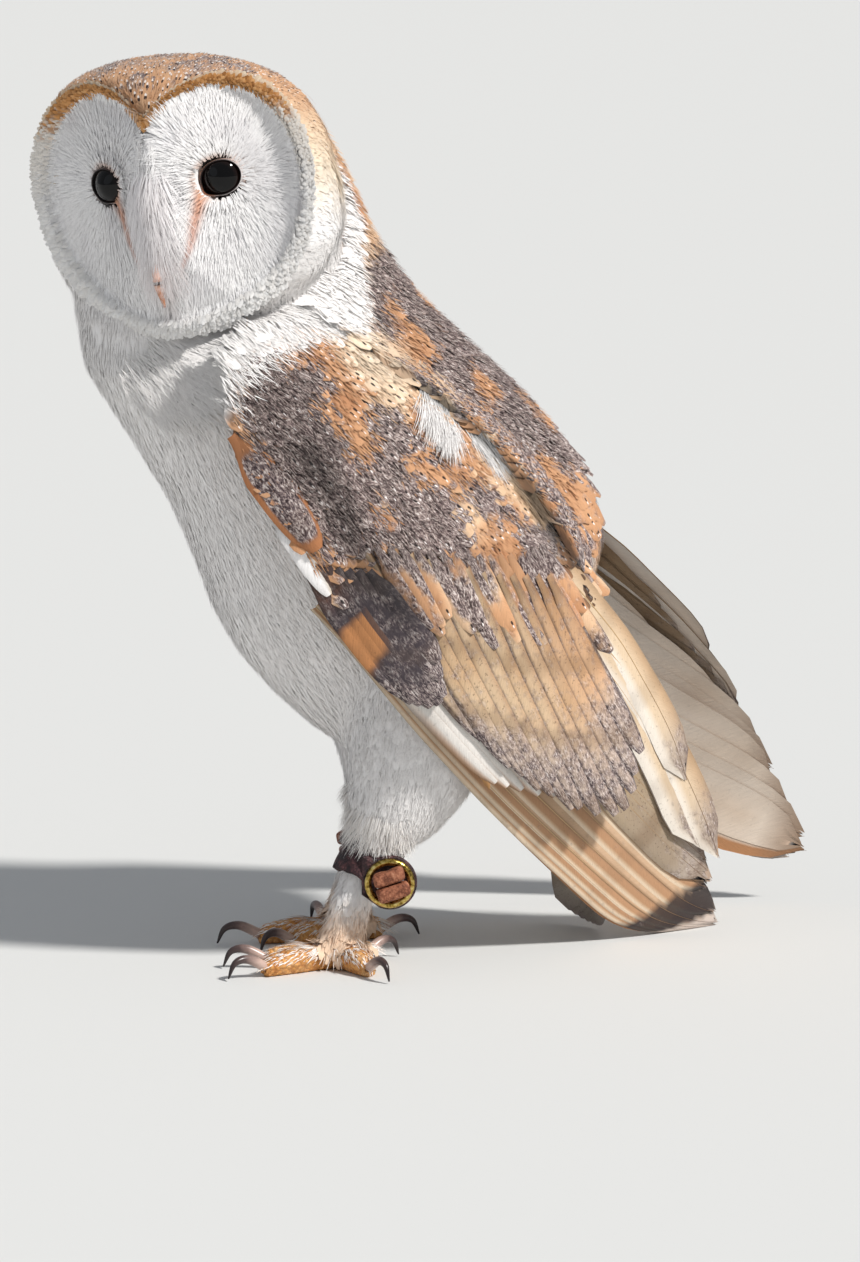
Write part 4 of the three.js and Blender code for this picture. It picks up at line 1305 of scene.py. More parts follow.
# Flight feathers, each with its path across the wing at places along it, and a pale shaft down it.
def flightGroup(place, quills, steps, columns, tone, height, layer, camber=0.12, start=60.0):
    out = []
    for i, f in enumerate(quills):
        reach = f["reach"]
        path = reader([start, 150, 150 + (reach - 150) * 0.4, 150 + (reach - 150) * 0.75, reach], f["path"])
        v = np.linspace(0, 1, steps)
        a = start + (reach - start) * v
        b = path(a)
        slope = np.gradient(b, a)
        end = np.clip((v - f.get("round", 0.8)) / (1 - f.get("round", 0.8)), 0, 1)
        wide = f["half"] * np.sqrt(np.clip(1 - end ** f.get("blunt", 2.4), 0.004, 1))
        wide = wide * (0.5 + 0.5 * smooth(0, 0.3, v))
        u = np.linspace(-1, 1, columns)
        skew = f.get("skew", 0.0)
        b3 = b[:, None] + wide[:, None] * (u + skew * (1 - u**2))
        a3 = a[:, None] - (wide[:, None] * u) * slope[:, None] - 0.25 * wide[:, None] * np.abs(u)
        # The tip frays where the barbs part.
        a3[-3:] -= np.array([0.3, 0.6, 1.0])[:, None] * rng.random(columns) * 3.0
        lift = height + layer * i
        out3 = lift - camber * wide[:, None] * u**2 + 0 * a3
        points = place(a3, b3, out3)
        normals = unit(place(a3, b3, out3 + 1) - points)
        n = i / max(len(quills) - 1, 1)
        tint, marks, shade = tone(a3, b3, v[:, None] + 0 * a3, u[None] + 0 * a3, n + 0 * a3)
        chance = rng.random()
        marks = marks.copy()
        marks[..., 3] = chance
        shade = shade * (0.95 + 0.08 * rng.random())
        size, run = np.array([f["half"]]), np.array([reach - start])
        out.append(
            feathers(points[None], normals[None], 0.25, tint[None], marks[None], size, run, shade=shade[None])
        )
        ridge = np.linspace(-1, 1, 3)
        width = 0.6 * (1 - 0.8 * v)
        middle = (b + skew * wide)[:, None] + width[:, None] * ridge * 0.6
        top = lift + width[:, None] * (0.55 * (1 - ridge**2)) * f.get("face", 1) + 0.05 * f.get("face", 1)
        along = a[:, None] + 0 * middle
        shaft = place(along, middle, top)
        shaftTint = mix(f.get("shaft", "C9A77C"), "7E6148", smooth(0.5, 1, v))[:, None]
        plain = marked((1, 1, 1), chance=chance)
        normals = unit(place(along, middle, top + 1) - shaft)
        out.append(feathers(shaft[None], normals[None], 0.0, shaftTint[None], plain, np.array([0.6]), run))
    return out


# Each flight feather gets its own strip of the bake.
def stripCharts(groups):
    columns = math.ceil(len(groups) / 2)
    for k, group in enumerate(groups):
        i, j = k % columns, k // columns
        group["chart"] = np.array([[(i + 0.5) / columns, 0.25 + 0.5 * j]])
        group["patch"] = np.array([0.9 / columns, 0.48])
    return groups


def primaryTone(a, b, v, u, n):
    blot = cloud(np.stack([a / 2.5, b, 0 * a], -1), 4, 2)
    base = mix("CBAA8A", "DFC8AE", smooth(0.2, 0.9, u))
    base = mix(base, "AC7A52", 0.66 * smooth(-0.48, -0.4, u) * smooth(0.05, -0.05, u))
    base = mix(base, "6E4A30", 0.5 * smooth(-0.1, 0.0, u) * smooth(0.14, 0.04, u))
    base = mix(base, "E9D6BC", 0.7 * smooth(-0.48, -0.58, u))
    base = mix(base, "F2ECE4", smooth(154, 120, a) * smooth(-20, -12, b) * 0.9)
    # A near black band before the pale tip: painted shadow across the folded wing tip.
    far = a - 0.4 * (b - 8) + 3 * (blot - 0.5)
    base = mix(base, "262126", 0.95 * smooth(243, 246, far) * smooth(263, 260, far))
    base = mix(base, "CDBFB6", 0.9 * smooth(260, 263, far))
    return base, marked(a.shape, 0.1, 0, 0.2), 1 - 0.25 * smooth(0.75, 1, np.abs(u))


def secondaryTone(a, b, v, u, n):
    base = mix("A98B68", "CDB38C", smooth(0.3, -0.6, u))
    # Grey brown towards the tip: partly their own colour, partly painted shade where they lie between the
    # coverts and the tertials.
    base = mix(base, "8A7C70", 0.75 * smooth(0.45, 0.85, v) * (1 - 0.5 * n))
    tip = smooth(0.9, 0.97, v)
    base = mix(base, "BFB2A8", tip * 0.6)
    return base, marked(a.shape, 0.15 + 0.25 * tip, 0, 0.8), 1 - 0.1 * smooth(0.4, 1, -u)


def tertialTone(a, b, v, u, n):
    base = mix("DCC4A6", "C2A17E", smooth(-0.2, 0.8, u))
    base = mix(base, "EBE2D6", smooth(-0.4, -0.75, u) * smooth(0.2, 0.4, v))
    tip = smooth(0.8, 0.95, v) * smooth(-0.9, -0.2, u)
    return mix(base, "A2968E", tip * 0.7), marked(a.shape, 0.45 * tip, 0, 0.35), 1 - 0.12 * smooth(0.5, 1, u)


# The undersides are pale, with a brown leading edge and few marks.
def underTone(a, b, v, u, n):
    blot = cloud(np.stack([a / 2, b, 0 * a], -1), 6, 7)
    base = mix("F6EFE6", "DEC9B4", smooth(0.3, 1.0, v) * (0.6 + 0.5 * blot))
    base = mix(base, "F5F0EA", smooth(0.35, 0.9, u) * smooth(0.85, 0.4, v) * 0.8)
    lead = smooth(-0.03, -0.14, u) * smooth(0.2, 0.05, n)
    base = mix(base, "B07746", 0.9 * lead)
    smudge = np.exp(-(((v - 0.78) / 0.035) ** 2) - ((u - 0.1) / 0.45) ** 2) * (blot > 0.35)
    base = mix(base, "7A6A66", 0.75 * smudge * smooth(0.3, 0.05, n))
    base = mix(base, "8A6A52", 0.75 * smooth(0.93, 0.99, v))
    return base, marked(a.shape, 0.12 * smudge, 0, 0.12), 1 - 0.06 * blot


def fan(count, roots, tips, reaches, halves, **more):
    made = []
    for i in range(count):
        t = np.array(i / (count - 1))
        root, tip, reach, half = [float(evenly(values)(t)) for values in (roots, tips, reaches, halves)]
        made.append(
            {
                "path": [root, root, root * 0.7 + tip * 0.3 - 1, root * 0.35 + tip * 0.65 - 1, tip],
                "reach": reach, "half": half, **more
            }
        )
    return made


# Feathers of one colour, a little darker at the root: painted shade where they lie under others.
def plainTone(name, dark=0.0):
    def tone(a, b, v, u, n):
        return np.broadcast_to(linear(name), a.shape + (3,)), marked(a.shape), 1 - dark * (1 - v)

    return tone


# The rows on each wing. roots and tips are places along
# and across it, net the steps and columns of each feather.
wingRows = dict(
    greater=dict(
        roots=[(54, -2), (60, 6), (74, 14), (90, 22), (102, 30), (112, 38)],
        tips=[(132, -13), (150, -13), (168, -9), (186, -3), (194, 8), (186, 22)],
        count=14, half=(4.2, 5.2), height=0.8, tone=greaterTone, net=(14, 9),
        bow=0.06, camber=0.3, layer=0.6, loose=1.5,
    ),
    primary=dict(
        roots=[(44, -16), (48, -12), (54, -8), (60, -3)],
        tips=[(100, -23), (108, -20), (110, -15), (100, -8)],
        count=8, half=(4.4, 5.4), height=0.3, tone=primaryCovertTone, net=(24, 9),
        layer=0.4,
    ),
    # Pale vanes show at the base of the primaries.
    vanes=dict(
        roots=[(80, -19), (84, -12), (92, -4)],
        tips=[(148, -20), (158, -15), (170, -8)],
        count=5, half=(4.4, 5.0), height=-0.9, tone=vaneTone, net=(14, 7),
        bow=0.03, camber=0.3, layer=0.25, loose=0.5,
    ),
    alula=dict(
        roots=[(22, -10), (-2, -2)],
        tips=[(58, -17), (44, -9.5)],
        count=2, half=(3.6, 6.2), height=0.2, tone=alulaTone, net=(20, 11),
        bow=-0.06, layer=1.4,
    ),
    inner=dict(
        roots=[(80, 12), (90, 19), (100, 26), (106, 33), (112, 42)],
        tips=[(116, 6), (132, 14), (142, 21), (151, 27), (154, 38)],
        count=10, half=(4.2, 5.0), height=3.4, tone=innerTone, net=(12, 9),
        camber=0.5, layer=0.35, loose=5.0,
    ),
    second=dict(
        roots=[(56, 4), (70, 14), (84, 24), (96, 34), (104, 44)],
        tips=[(88, -3), (102, 6), (116, 16), (128, 26), (134, 40)],
        count=16, half=(3.6, 4.6), height=3.0, tone=None, net=(9, 7),
        camber=0.5, layer=0.3, loose=4.0,
    ),
)
scapularLook = dict(
    roots=[(14, 56), (36, 66), (58, 70), (80, 72), (98, 71)],
    tips=[(40, 60), (64, 66), (90, 67), (114, 66), (134, 61)],
    count=14, half=(3.8, 5.0), height=3.4, tone=scapularTone, net=(9, 7),
    camber=0.4, layer=0.05, loose=1.5,
)
# Flight feathers: roots and tips are places across the wing, and reaches are how far along it they end.
below = {"face": -1, "shaft": "F4EEE4"}
flightRows = {
    "primaries": dict(
        count=6, roots=[-22, -20, -16.5, -10, -1, 8], tips=[-4.5, -2, 1, 6, 11, 16],
        reaches=[276, 277, 275, 271, 263, 252], halves=[5.4, 5.2, 5.8, 7.8, 8.6, 8.6], round=0.9, skew=-0.25,
    ),
    "secondaries": dict(
        count=10, roots=[10, 26, 48], tips=[17, 27, 38], reaches=[250, 240, 222, 190],
        halves=[7.6, 8.2, 8.2], round=0.88, blunt=2.6,
    ),
    # Seen from the body's side, the outermost primaries cover the rest.
    "outer": dict(
        count=4, roots=[-14, -4, 12], tips=[2, 8, 16], reaches=[278, 271, 254], halves=[13, 13, 13],
        round=0.84, blunt=2.2, skew=-0.55, **below,
    ),
    "inner": dict(
        count=4, roots=[16, 27, 36], tips=[19, 24, 28], reaches=[252, 238, 200], halves=[12, 12, 10],
        round=0.8, blunt=2.0, skew=-0.3, **below,
    ),
}
within = lambda a, b, v, u, n: underTone(a, b, v, u, n + 1)
for name, side in (("l", 1), ("r", -1)):
    place = wings[name]
    fans = {key: fan(**look) for key, look in flightRows.items()}
    flights = flightGroup(place, fans["primaries"], 64, 17, primaryTone, -5.6, 0.5)
    flights += flightGroup(place, fans["secondaries"], 22, 7, secondaryTone, -1.9, 0.24)
    flights += flightGroup(place, fans["outer"], 30, 15, underTone, -8.2, 0.4, 0.03)
    flights += flightGroup(place, fans["inner"], 24, 11, within, -3.4, 0.3, 0.03)
    tertials = [
        dict(path=[30, 38, 35, 28, 21], reach=236, half=8.5, round=0.86),
        dict(path=[38, 44, 40, 32, 24], reach=246 if name == "l" else 232, half=8.0, round=0.88),
        dict(path=[48, 51, 46, 40, 33], reach=214, half=8.0, round=0.85),
    ]
    flights += flightGroup(place, tertials, 20, 7, tertialTone, 1.2, 0.6, start=84.0)
    flights += flightGroup(place, [{**f, **below} for f in tertials], 20, 7, within, 0.5, 0.6, start=84.0)
    newPiece(
        f"flight_feathers_{name}", stripCharts(flights), flightMaterial,
        [f"secondaries_{name}", f"primaries_{name}"]
    )

    pieces = [row(place, **look) for look in wingRows.values()]
    pieces.append(smallCoverts(place, int(coverts["small"] * share)))
    pieces.append(softBarbs(place, int(coverts["barbs"] * share)))
    newPiece(f"wing_coverts_{name}", pieces, vaneMaterial)

    # Over the back: mantle feathers, a row of long ones along their edge, and white down from the neck.
    drape, known = drapeOver(place)

    def overBack(count, low, high, margin):
        a, b = spread(-34, high, count), spread(50, 110, count)
        a, b = a[b > mantleEdge(a) + low], b[b > mantleEdge(a) + low]
        out = place(a, b, drape(a, b))[:, 0] * side
        ok = (out > -2) & known(a, b) & known(a + margin, b) & (a < high - 0.75 * (b - 60))
        return a[ok], b[ok]

    a, b = overBack(int(coverts["mantle"] * share), 2, 126, 14)
    order = np.argsort(-a)
    a, b = a[order], b[order]
    size = smooth(-20, 110, a)
    edge = smooth(10, 0, b - mantleEdge(a))
    turn = -0.05 + rng.normal(0, 0.1, len(a)) - 0.2 * edge * smooth(60, 126, a)
    length = (9 + 12 * size) * spread(0.85, 1.15, len(a))
    half = (2.3 + 2.2 * size) * spread(0.85, 1.15, len(a))
    rise = np.stack([0 * a + 0.3, spread(2.2, 3.2, len(a)) + 1.6 * edge])
    mantle = covertGroup(place, a, b, turn, length, half, rise, drape, 6, 3)
    a, b = overBack(int(coverts["mantle barbs"] * share), 0, 122, 8)
    rise = np.stack([0 * a + 1.4, spread(2.6, 3.9, len(a)) + 1.6 * smooth(10, 0, b - mantleEdge(a))])
    turn = rng.normal(-0.05, 0.18, len(a))
    length, half = spread(4, 7, len(a)), spread(0.16, 0.32, len(a))
    fluff = covertGroup(place, a, b, turn, length, half, rise, drape, 3, 2, pointed, 0.0, even=0.7)
    scapulars = row(place, base=drape, **scapularLook)
    tufts = []
    for count, where, reach, way, size, tone in (
        (1100, (40, 55), (57, 65), -1.2, (11, 19), "white"),
        (700, (58, 74), (62, 67), -0.4, (9, 16), "white"),
        (500, (70, 96), (61, 66), -0.25, (9, 15), "paleGold"),
    ):
        count = int(count * share)
        a, b = spread(*where, count), spread(*reach, count)
        rise = np.stack([0 * a + 1.2, spread(1.2, 3.6, count)])
        turn = way + rng.normal(0, 0.22, count)
        length, half = spread(*size, count), spread(0.12, 0.24, count)
        plain = plainTone(tone)
        tufts.append(
            covertGroup(place, a, b, turn, length, half, rise, drape, 5, 2, pointed, 0.0, plain, 0.08, 0.8)
        )
    newPiece(f"mantle_feathers_{name}", [mantle, fluff, scapulars] + tufts, vaneMaterial)

    count = int(coverts["neck down"] * share)
    b = spread(-14, 68, count)
    a = neckEnds(b) + 3 * rng.normal(0, 1, count) - spread(5, 24, count)
    ok = known(a, b) & (a > -38)
    a, b = a[ok], b[ok]
    rise = np.stack([0 * a + 0.2, spread(1.0, 2.4, len(a))])
    turn = 0.1 + rng.normal(0, 0.25, len(a)) - 0.35 * smooth(30, -10, b)
    length, half, plain = spread(5, 9, len(a)), spread(0.12, 0.25, len(a)), plainTone("white", 0.08)
    down = covertGroup(place, a, b, turn, length, half, rise, drape, 5, 2, pointed, 0.0, plain, 0.05, 0.8)
    newPiece(f"neck_down_{name}", [down], downMaterial)

# The tail.
tailAt = reader([0, 1, 2, 3, 4], [(62, 112, 15), (80, 80, 18), (95, 48, 21), (103, 18, 20), (105, 1.5, 12)])
tailLook = dict(count=10, half=7.5, length=115.0)
tail = []
for i in range(tailLook["count"]):
    spreadAt = (i + 0.5) / tailLook["count"] * 2 - 1
    steps, columns = 16, 7
    v = np.linspace(0, 1, steps)
    y, z, _ = tailAt(v * (4 - 0.25 * spreadAt**2)).T
    u = np.linspace(-1, 1, columns)
    half = tailLook["half"] * np.sqrt(np.clip(1 - np.clip((v - 0.86) / 0.14, 0, 1) ** 2.2, 0.01, 1))
    middle = -3 + spreadAt * np.interp(v, [0, 1], [8, 13])
    x = middle[:, None] + half[:, None] * u
    layer = 0.9 - 1.8 * abs(spreadAt)
    points = np.stack([x, y[:, None] - x**2 / 90 + layer, np.maximum(z[:, None] + 0 * x, 0.3)], -1)
    v3 = v[:, None] + 0 * x
    tint = mix("D9CDBB", "9C9086", smooth(0.6, 1, v3))
    marks = marked(x.shape, 0.35 * smooth(0.9, 1, v3), 0, 0.8, rng.random())
    normals = np.broadcast_to(unit(np.array([0, 1.0, 0.5])), points.shape)
    half, length = np.array([tailLook["half"]]), np.array([tailLook["length"]])
    tail.append(feathers(points[None], normals[None], 0.2, tint[None], marks[None], half, length))
newPiece("tail_feathers", stripCharts(tail), flightMaterial, ["tail"])
print("plumage done")


# Turns a bmesh into a finished piece. Its places are in millimetres on the owl.
def finished(bm, name, materials, replaced=()):
    bmesh.ops.recalc_face_normals(bm, faces=bm.faces)
    bmesh.ops.transform(bm, matrix=Matrix.Scale(0.001, 4) @ Matrix.Translation(standing), verts=bm.verts)
    for side in bm.faces:
        side.smooth = True
    mesh = bpy.data.meshes.new(name)
    bm.to_mesh(mesh)
    bm.free()
    print(name, sum(len(q.vertices) - 2 for q in mesh.polygons), "triangles")
    dressed(mesh, materials, replaced)


def matrixOf(side, over, along, at):
    return Matrix([[side[k], over[k], along[k], at[k]] for k in range(3)] + [[0, 0, 0, 1]])


def edgesOf(ring):
    return list({e for v in ring for e in v.link_edges})


# Extrudes an open ring, and gives the new one's points and edges.
def extruded(bm, edges):
    grown = bmesh.ops.extrude_edge_only(bm, edges=edges)["geom"]
    kinds = (bmesh.types.BMVert, bmesh.types.BMEdge)
    return [[g for g in grown if isinstance(g, kind)] for kind in kinds]


# Extrudes a ring from place to place along a path and closes its ends, if it has any.
def sweep(bm, path, radii, around, steps, flat=1.0, up=(0, 0, 1), closed=True):
    t = np.linspace(0, 1, steps)
    middle, size = evenly(path)(t), evenly(radii)(t)
    ways = unit(np.gradient(middle, axis=0))
    sides = unit(np.cross(ways, up))
    overs = np.cross(sides, ways)
    layer = bm.verts.layers.float.get("along") or bm.verts.layers.float.new("along")
    ring = bmesh.ops.create_circle(bm, segments=around, radius=1)["verts"]
    edges = edgesOf(ring)
    made, rows, before = list(ring), [list(ring)], Matrix.Identity(4)
    for k in range(steps):
        if k:
            ring, edges = extruded(bm, edges)
            made += ring
            rows.append(ring)
        after = matrixOf(sides[k] * size[k] * flat, overs[k] * size[k], ways[k] * size[k], middle[k])
        bmesh.ops.transform(bm, matrix=after @ before.inverted(), verts=ring)
        before = after
        for v in ring:
            v[layer] = t[k]
    if closed:
        ends = {e for v in rows[0] + rows[-1] for e in v.link_edges if e.is_boundary}
        bmesh.ops.holes_fill(bm, edges=list(ends), sides=0)
    return made, rows


def placed(verts, where):
    for v in verts:
        v.co = where(np.array(v.co))


# Eyes of wet, near black brown: the clear front throws one small highlight.
eyeLook = dict(radius=8.4, bulge=0.45, opening=(6.6, 5.5), outward=0.34)
eyeMaterial, add, shader = newMaterial("wet dark brown eye", {"Roughness": 0.06, "IOR": 1.34})
reach = add("Attribute", {"attribute_name": "along"}).outputs["Fac"]
place = add("TexCoord").outputs["Object"]
fibres = add("TexNoise", {"Scale": 900.0, "Detail": 2.0}, {"Vector": place})
wobble = add("Math MULTIPLY_ADD", {1: 0.08}, {0: fibres, 2: reach})
irisStops = [(0.0, "040303"), (0.38, "050404"), (0.44, "140B09"), (0.62, "1C100D"), (0.74, "080505")]
iris = add("ValToRGB", {"stops": irisStops}, {0: wobble})
shaded(shader, {"Base Color": iris})

lidMaterial, add, shader = newMaterial("thin bare lid skin", {"Roughness": 0.5, "Specular IOR Level": 0.35})
tint = add("Attribute", {"attribute_name": "tint"})
shaded(shader, {"Base Color": tint})
place = add("TexCoord").outputs["Object"]
folds = add("TexNoise", {"Scale": 2200.0, "Detail": 3.0}, {"Vector": place})
bump = add("Bump", {"Strength": 0.4, "Distance": 0.0002}, {"Height": folds})
shaded(shader, {"Normal": bump})

lids = bmesh.new()
lidTint = lids.verts.layers.float_color.new("tint")
for name, side in (("l", 1), ("r", -1)):
    depth = discForward(np.array(eyeSpacing / 2), np.array(0.0))
    centre = np.array([side * eyeSpacing / 2, -float(depth), 0.0])
    gaze = unit(np.array([side * eyeLook["outward"], -1, 0]))
    centre = centre - 6 * gaze
    across = unit(np.cross([0, 0, 1], gaze)) * side
    across = across * np.sign(across[0] * side)
    up = np.array([0, 0, 1.0])
    bm = bmesh.new()
    bmesh.ops.create_uvsphere(bm, u_segments=64, v_segments=48, radius=eyeLook["radius"])
    layer = bm.verts.layers.float.new("along")
    for v in bm.verts:
        polar = math.acos(max(-1, min(1, v.co.z / eyeLook["radius"])))
        v[layer] = polar / 1.6
        v.co.z += eyeLook["bulge"] * math.exp(-((polar / 0.45) ** 2))
    placed(bm.verts, lambda p: fromHead(centre + across * p[0] + up * p[1] + gaze * p[2]))
    finished(bm, f"eyeball_{name}", [eyeMaterial], [f"eye_{name}"])
    # The lids leave an oval with a point at its inner lower corner: a dark wet edge, then a thin fold.
    ring = bmesh.ops.create_circle(lids, segments=72, radius=1)["verts"]
    edges = edgesOf(ring)
    rows = [
        (0.95, 8.35, "0B0707"), (0.985, 8.8, "120B0A"), (1.02, 9.0, "2A1C19"), (1.045, 8.9, "4A322A"),
        (1.08, 8.5, "A88068"), (1.12, 8.2, "BC9C8C"), (1.22, 8.2, "DCC8BE"), (1.45, 8.6, "F2EEEE"),
        (1.7, 8.6, "F2EEEE")
    ]
    angles = {v: math.atan2(v.co.y, v.co.x) for v in ring}
    for k, (size, height, tone) in enumerate(rows):
        old = dict(angles)
        if k:
            ring, edges = extruded(lids, edges)
            for v in ring:
                before = next(e.other_vert(v) for e in v.link_edges if e.other_vert(v) in old)
                angles[v] = old[before]
        for v in ring:
            angle = angles[v]
            corner = math.exp(-((((angle % (2 * math.pi)) - 3.72) / 0.36) ** 2))
            wide, tall = [part * (1 + more * corner) for part, more in zip(eyeLook["opening"], (0.15, 0.12))]
            x, y = math.cos(angle) * wide * size, math.sin(angle) * tall * size
            x, y = 0.976 * x - 0.218 * y, 0.218 * x + 0.976 * y
            level = math.sqrt(max(height**2 - min(x * x + y * y, 36), 1)) - max(size - 1.05, 0) * 8
            v.co = fromHead(centre + gaze * level + across * x + up * y)
            # The fold shows above and inward, and the corner is orange pink.
            colour = linear(tone)
            away = 0.5 + 0.5 * math.cos(angle - 2.2)
            if 2 <= k <= 5:
                colour = mix(colour, "F0ECEC" if k > 2 else "1C1211", 0.75 * (1 - away) * (k > 2))
                colour = mix(colour, "D98E66", 0.85 * corner)
            v[lidTint] = (*colour, 1)
finished(lids, "eyelids", [lidMaterial])


# Horn: grain through it and over it, and its tone changes along it from root to point.
def horn(name, settings, look):
    material, add, shader = newMaterial(name, settings)
    along = add("Attribute", {"attribute_name": "along"}).outputs["Fac"]
    place = add("TexCoord").outputs["Object"]
    grain = add("TexNoise", {"Scale": look["grain"], "Detail": look["detail"]}, {"Vector": place})
    mottled = add("Math MULTIPLY_ADD", {1: look["mottle"]}, {0: grain, 2: along})
    tone = add("ValToRGB", {"stops": look["stops"]}, {0: mottled})
    bump = add("Bump", {"Strength": look["bump"], "Distance": 0.0002}, {"Height": grain})
    shaded(shader, {"Base Color": tone, "Normal": bump})
    return material


# Bill of smooth ivory horn, a little waxy: light sinks in.
# It is pink at the root, and orange brown on its ridge.
billLook = dict(
    radii=[3.8, 3.6, 2.6, 0.45], flat=0.62, lower=[2.2, 1.9, 0.7],
    grain=500.0, detail=4.0, mottle=0.3, bump=0.25,
    stops=[(0.15, "E4C6BE"), (0.6, "E8CFC8"), (0.85, "DDB5A4"), (1.05, "B98468")],
)
settings = {"Roughness": 0.4, "Specular IOR Level": 0.45}
settings |= {"Subsurface Weight": 0.05, "Subsurface Radius": (0.003, 0.0015, 0.001), "Subsurface Scale": 1.0}
billMaterial = horn("smooth ivory bill horn", settings, billLook)
bm = bmesh.new()
sweep(
    bm, [(0, 0, -15), (0, -7.6, -21), (0, -12.4, -30), (0, -10.6, -39.5)], billLook["radii"], 28, 30,
    billLook["flat"]
)
sweep(bm, [(0, 2, -24), (0, -5, -29.5), (0, -8, -33.5)], billLook["lower"], 20, 16, 0.8)
placed(bm.verts, fromHead)
finished(bm, "bill", [billMaterial], ["bill_upper", "bill_lower"])

# Claws of dark horn, worn smooth: pale at the root, near black and a little shiny at the point.
clawLook = dict(
    radii=[1.75, 1.55, 1.05, 0.28], around=14, steps=20,
    grain=400.0, detail=3.0, mottle=0.24, bump=0.2,
    stops=[(0.25, "C9ADA0"), (0.42, "8E7770"), (0.6, "4E3E3C"), (0.95, "251B1B")],
)
clawMaterial = horn("polished dark claw horn", {"Roughness": 0.3, "Specular IOR Level": 0.5}, clawLook)
bm, clawNodes = bmesh.new(), []
for leg, side, back, turn in legs:
    place = footPlace(side, back, turn)
    for toe, angle, length, size in toes:
        way = toeWay(angle)
        outs, heights = (-2.5, 4, 9, 11.5), (3.4, 6.6, 5.8, 0.9)
        path = [way * (length + out * size) + [0, 0, z] for out, z in zip(outs, heights)]
        made, _ = sweep(bm, path, clawLook["radii"], clawLook["around"], clawLook["steps"])
        placed(made, place)
        clawNodes.append(f"claw_{leg}_{toe}")
for v in bm.verts:
    v.co.z = max(v.co.z, 0.05)
finished(bm, "claws", [clawMaterial], clawNodes)


# Leather, from its tones and how rough it is: fine grain cells under scuffs that lighten the high places.
def leather(name, look):
    material, add, shader = newMaterial(name, {"Specular IOR Level": look["shine"]})
    place = add("TexCoord").outputs["Object"]
    wear = add("TexNoise", {"Scale": look["scuffs"], "Detail": 6.0, "Roughness": 0.68}, {"Vector": place})
    cells = add("TexVoronoi", {"Scale": 1500.0}, {"Vector": place}).outputs["Distance"]
    fine = add("Math MULTIPLY_ADD", {1: -0.16}, {0: cells, 2: wear})
    tone = add("ValToRGB", {"stops": look["stops"]}, {0: fine})
    shaded(shader, {"Base Color": tone})
    dull = add("Math MULTIPLY_ADD", {1: 0.35, 2: look["rough"]}, {0: wear})
    shaded(shader, {"Roughness": dull})
    height = add("Math MULTIPLY_ADD", {1: 0.5}, {0: cells, 2: wear})
    bump = add("Bump", {"Strength": 0.7, "Distance": 0.0005}, {"Height": height})
    shaded(shader, {"Normal": bump})
    return material


darkStops = [(0.3, "1C1013"), (0.45, "3A2124"), (0.58, "5E3B3B"), (0.74, "97726A")]
tanStops = [(0.3, "6A3C2A"), (0.46, "9C6248"), (0.6, "B87F62"), (0.75, "CFA084")]
ankletMaterial = leather("worn oiled leather", dict(shine=0.4, scuffs=300.0, rough=0.36, stops=darkStops))
tanMaterial = leather("dry tan leather", dict(shine=0.3, scuffs=420.0, rough=0.5, stops=tanStops))

# Brass rubbed bright on its round edges and dull brown where it isn't.
brassMaterial, add, shader = newMaterial("rubbed brass", {"Metallic": 1.0, "Roughness": 0.3})
place = add("TexCoord").outputs["Object"]
wear = add("TexNoise", {"Scale": 700.0, "Detail": 4.0}, {"Vector": place})
brassStops = [(0.35, "6E5828"), (0.5, "B59A4E"), (0.68, "E3D08E")]
tone = add("ValToRGB", {"stops": brassStops}, {0: wear})
shaded(shader, {"Base Color": tone})
dull = add("Math MULTIPLY_ADD", {1: 0.4, 2: 0.1}, {0: wear})
shaded(shader, {"Roughness": dull})

def bevelled(bm, size, segments):
    sharp = [e for e in bm.edges if e.calc_face_angle(0) > 1]
    bmesh.ops.bevel(
        bm, geom=sharp, offset=size, offset_type="OFFSET", segments=segments,
        profile=0.5, affect="EDGES", material=-1,
    )


# The anklets: a cuff round each leg with a flap behind it, a
# brass grommet through the flap and a folded jess button in it.
anklet = dict(
    path=[(0, 14.8, 43.8), (0, 11.5, 36), (0, 8.2, 29)], radii=[9.4, 8.7, 9.1], wall=1.3,
    flap=(9.1, 4.8), thick=2.3, ring=(7.2, 1.2), at=(12, 13.3, 29.6), turn=66,
)
cuff, flap, ring, button = bmesh.new(), bmesh.new(), bmesh.new(), bmesh.new()
made, rows = sweep(cuff, anklet["path"], anklet["radii"], 60, 16, 1.0, (1, 0, 0), False)
for k, loop in enumerate(rows):
    middle = np.mean([v.co for v in loop], axis=0)
    for v in loop:
        p = np.array(v.co)
        worn = 1.8 * (cloud(p, 2.5, 9) - 0.5) * (k in (0, len(rows) - 1))
        v.co = p + unit(p - middle) * (cloud(p, 5, 6) - 0.5) * 0.9 + [0, 0, worn]
bmesh.ops.solidify(cuff, geom=cuff.faces, thickness=anklet["wall"])
# A flat ring of leather, square at its root, is thickened into the flap.
outer = bmesh.ops.create_circle(flap, segments=48, radius=anklet["flap"][0])["verts"]
bmesh.ops.create_circle(flap, segments=48, radius=anklet["flap"][1])
for v in outer:
    if v.co.x < -4:
        v.co = (-9.3, max(min(v.co.y * 1.3, 9.0), -4.0), 0)
bmesh.ops.bridge_loops(flap, edges=flap.edges[:])
bmesh.ops.solidify(flap, geom=flap.faces[:], thickness=anklet["thick"])
bmesh.ops.translate(flap, vec=(0, 0, -sum(v.co.z for v in flap.verts) / len(flap.verts)), verts=flap.verts)
bevelled(flap, 0.5, 2)
bmesh.ops.rotate(flap, cent=(0, 0, 0), matrix=Matrix.Rotation(math.radians(90), 3, "X"), verts=flap.verts)
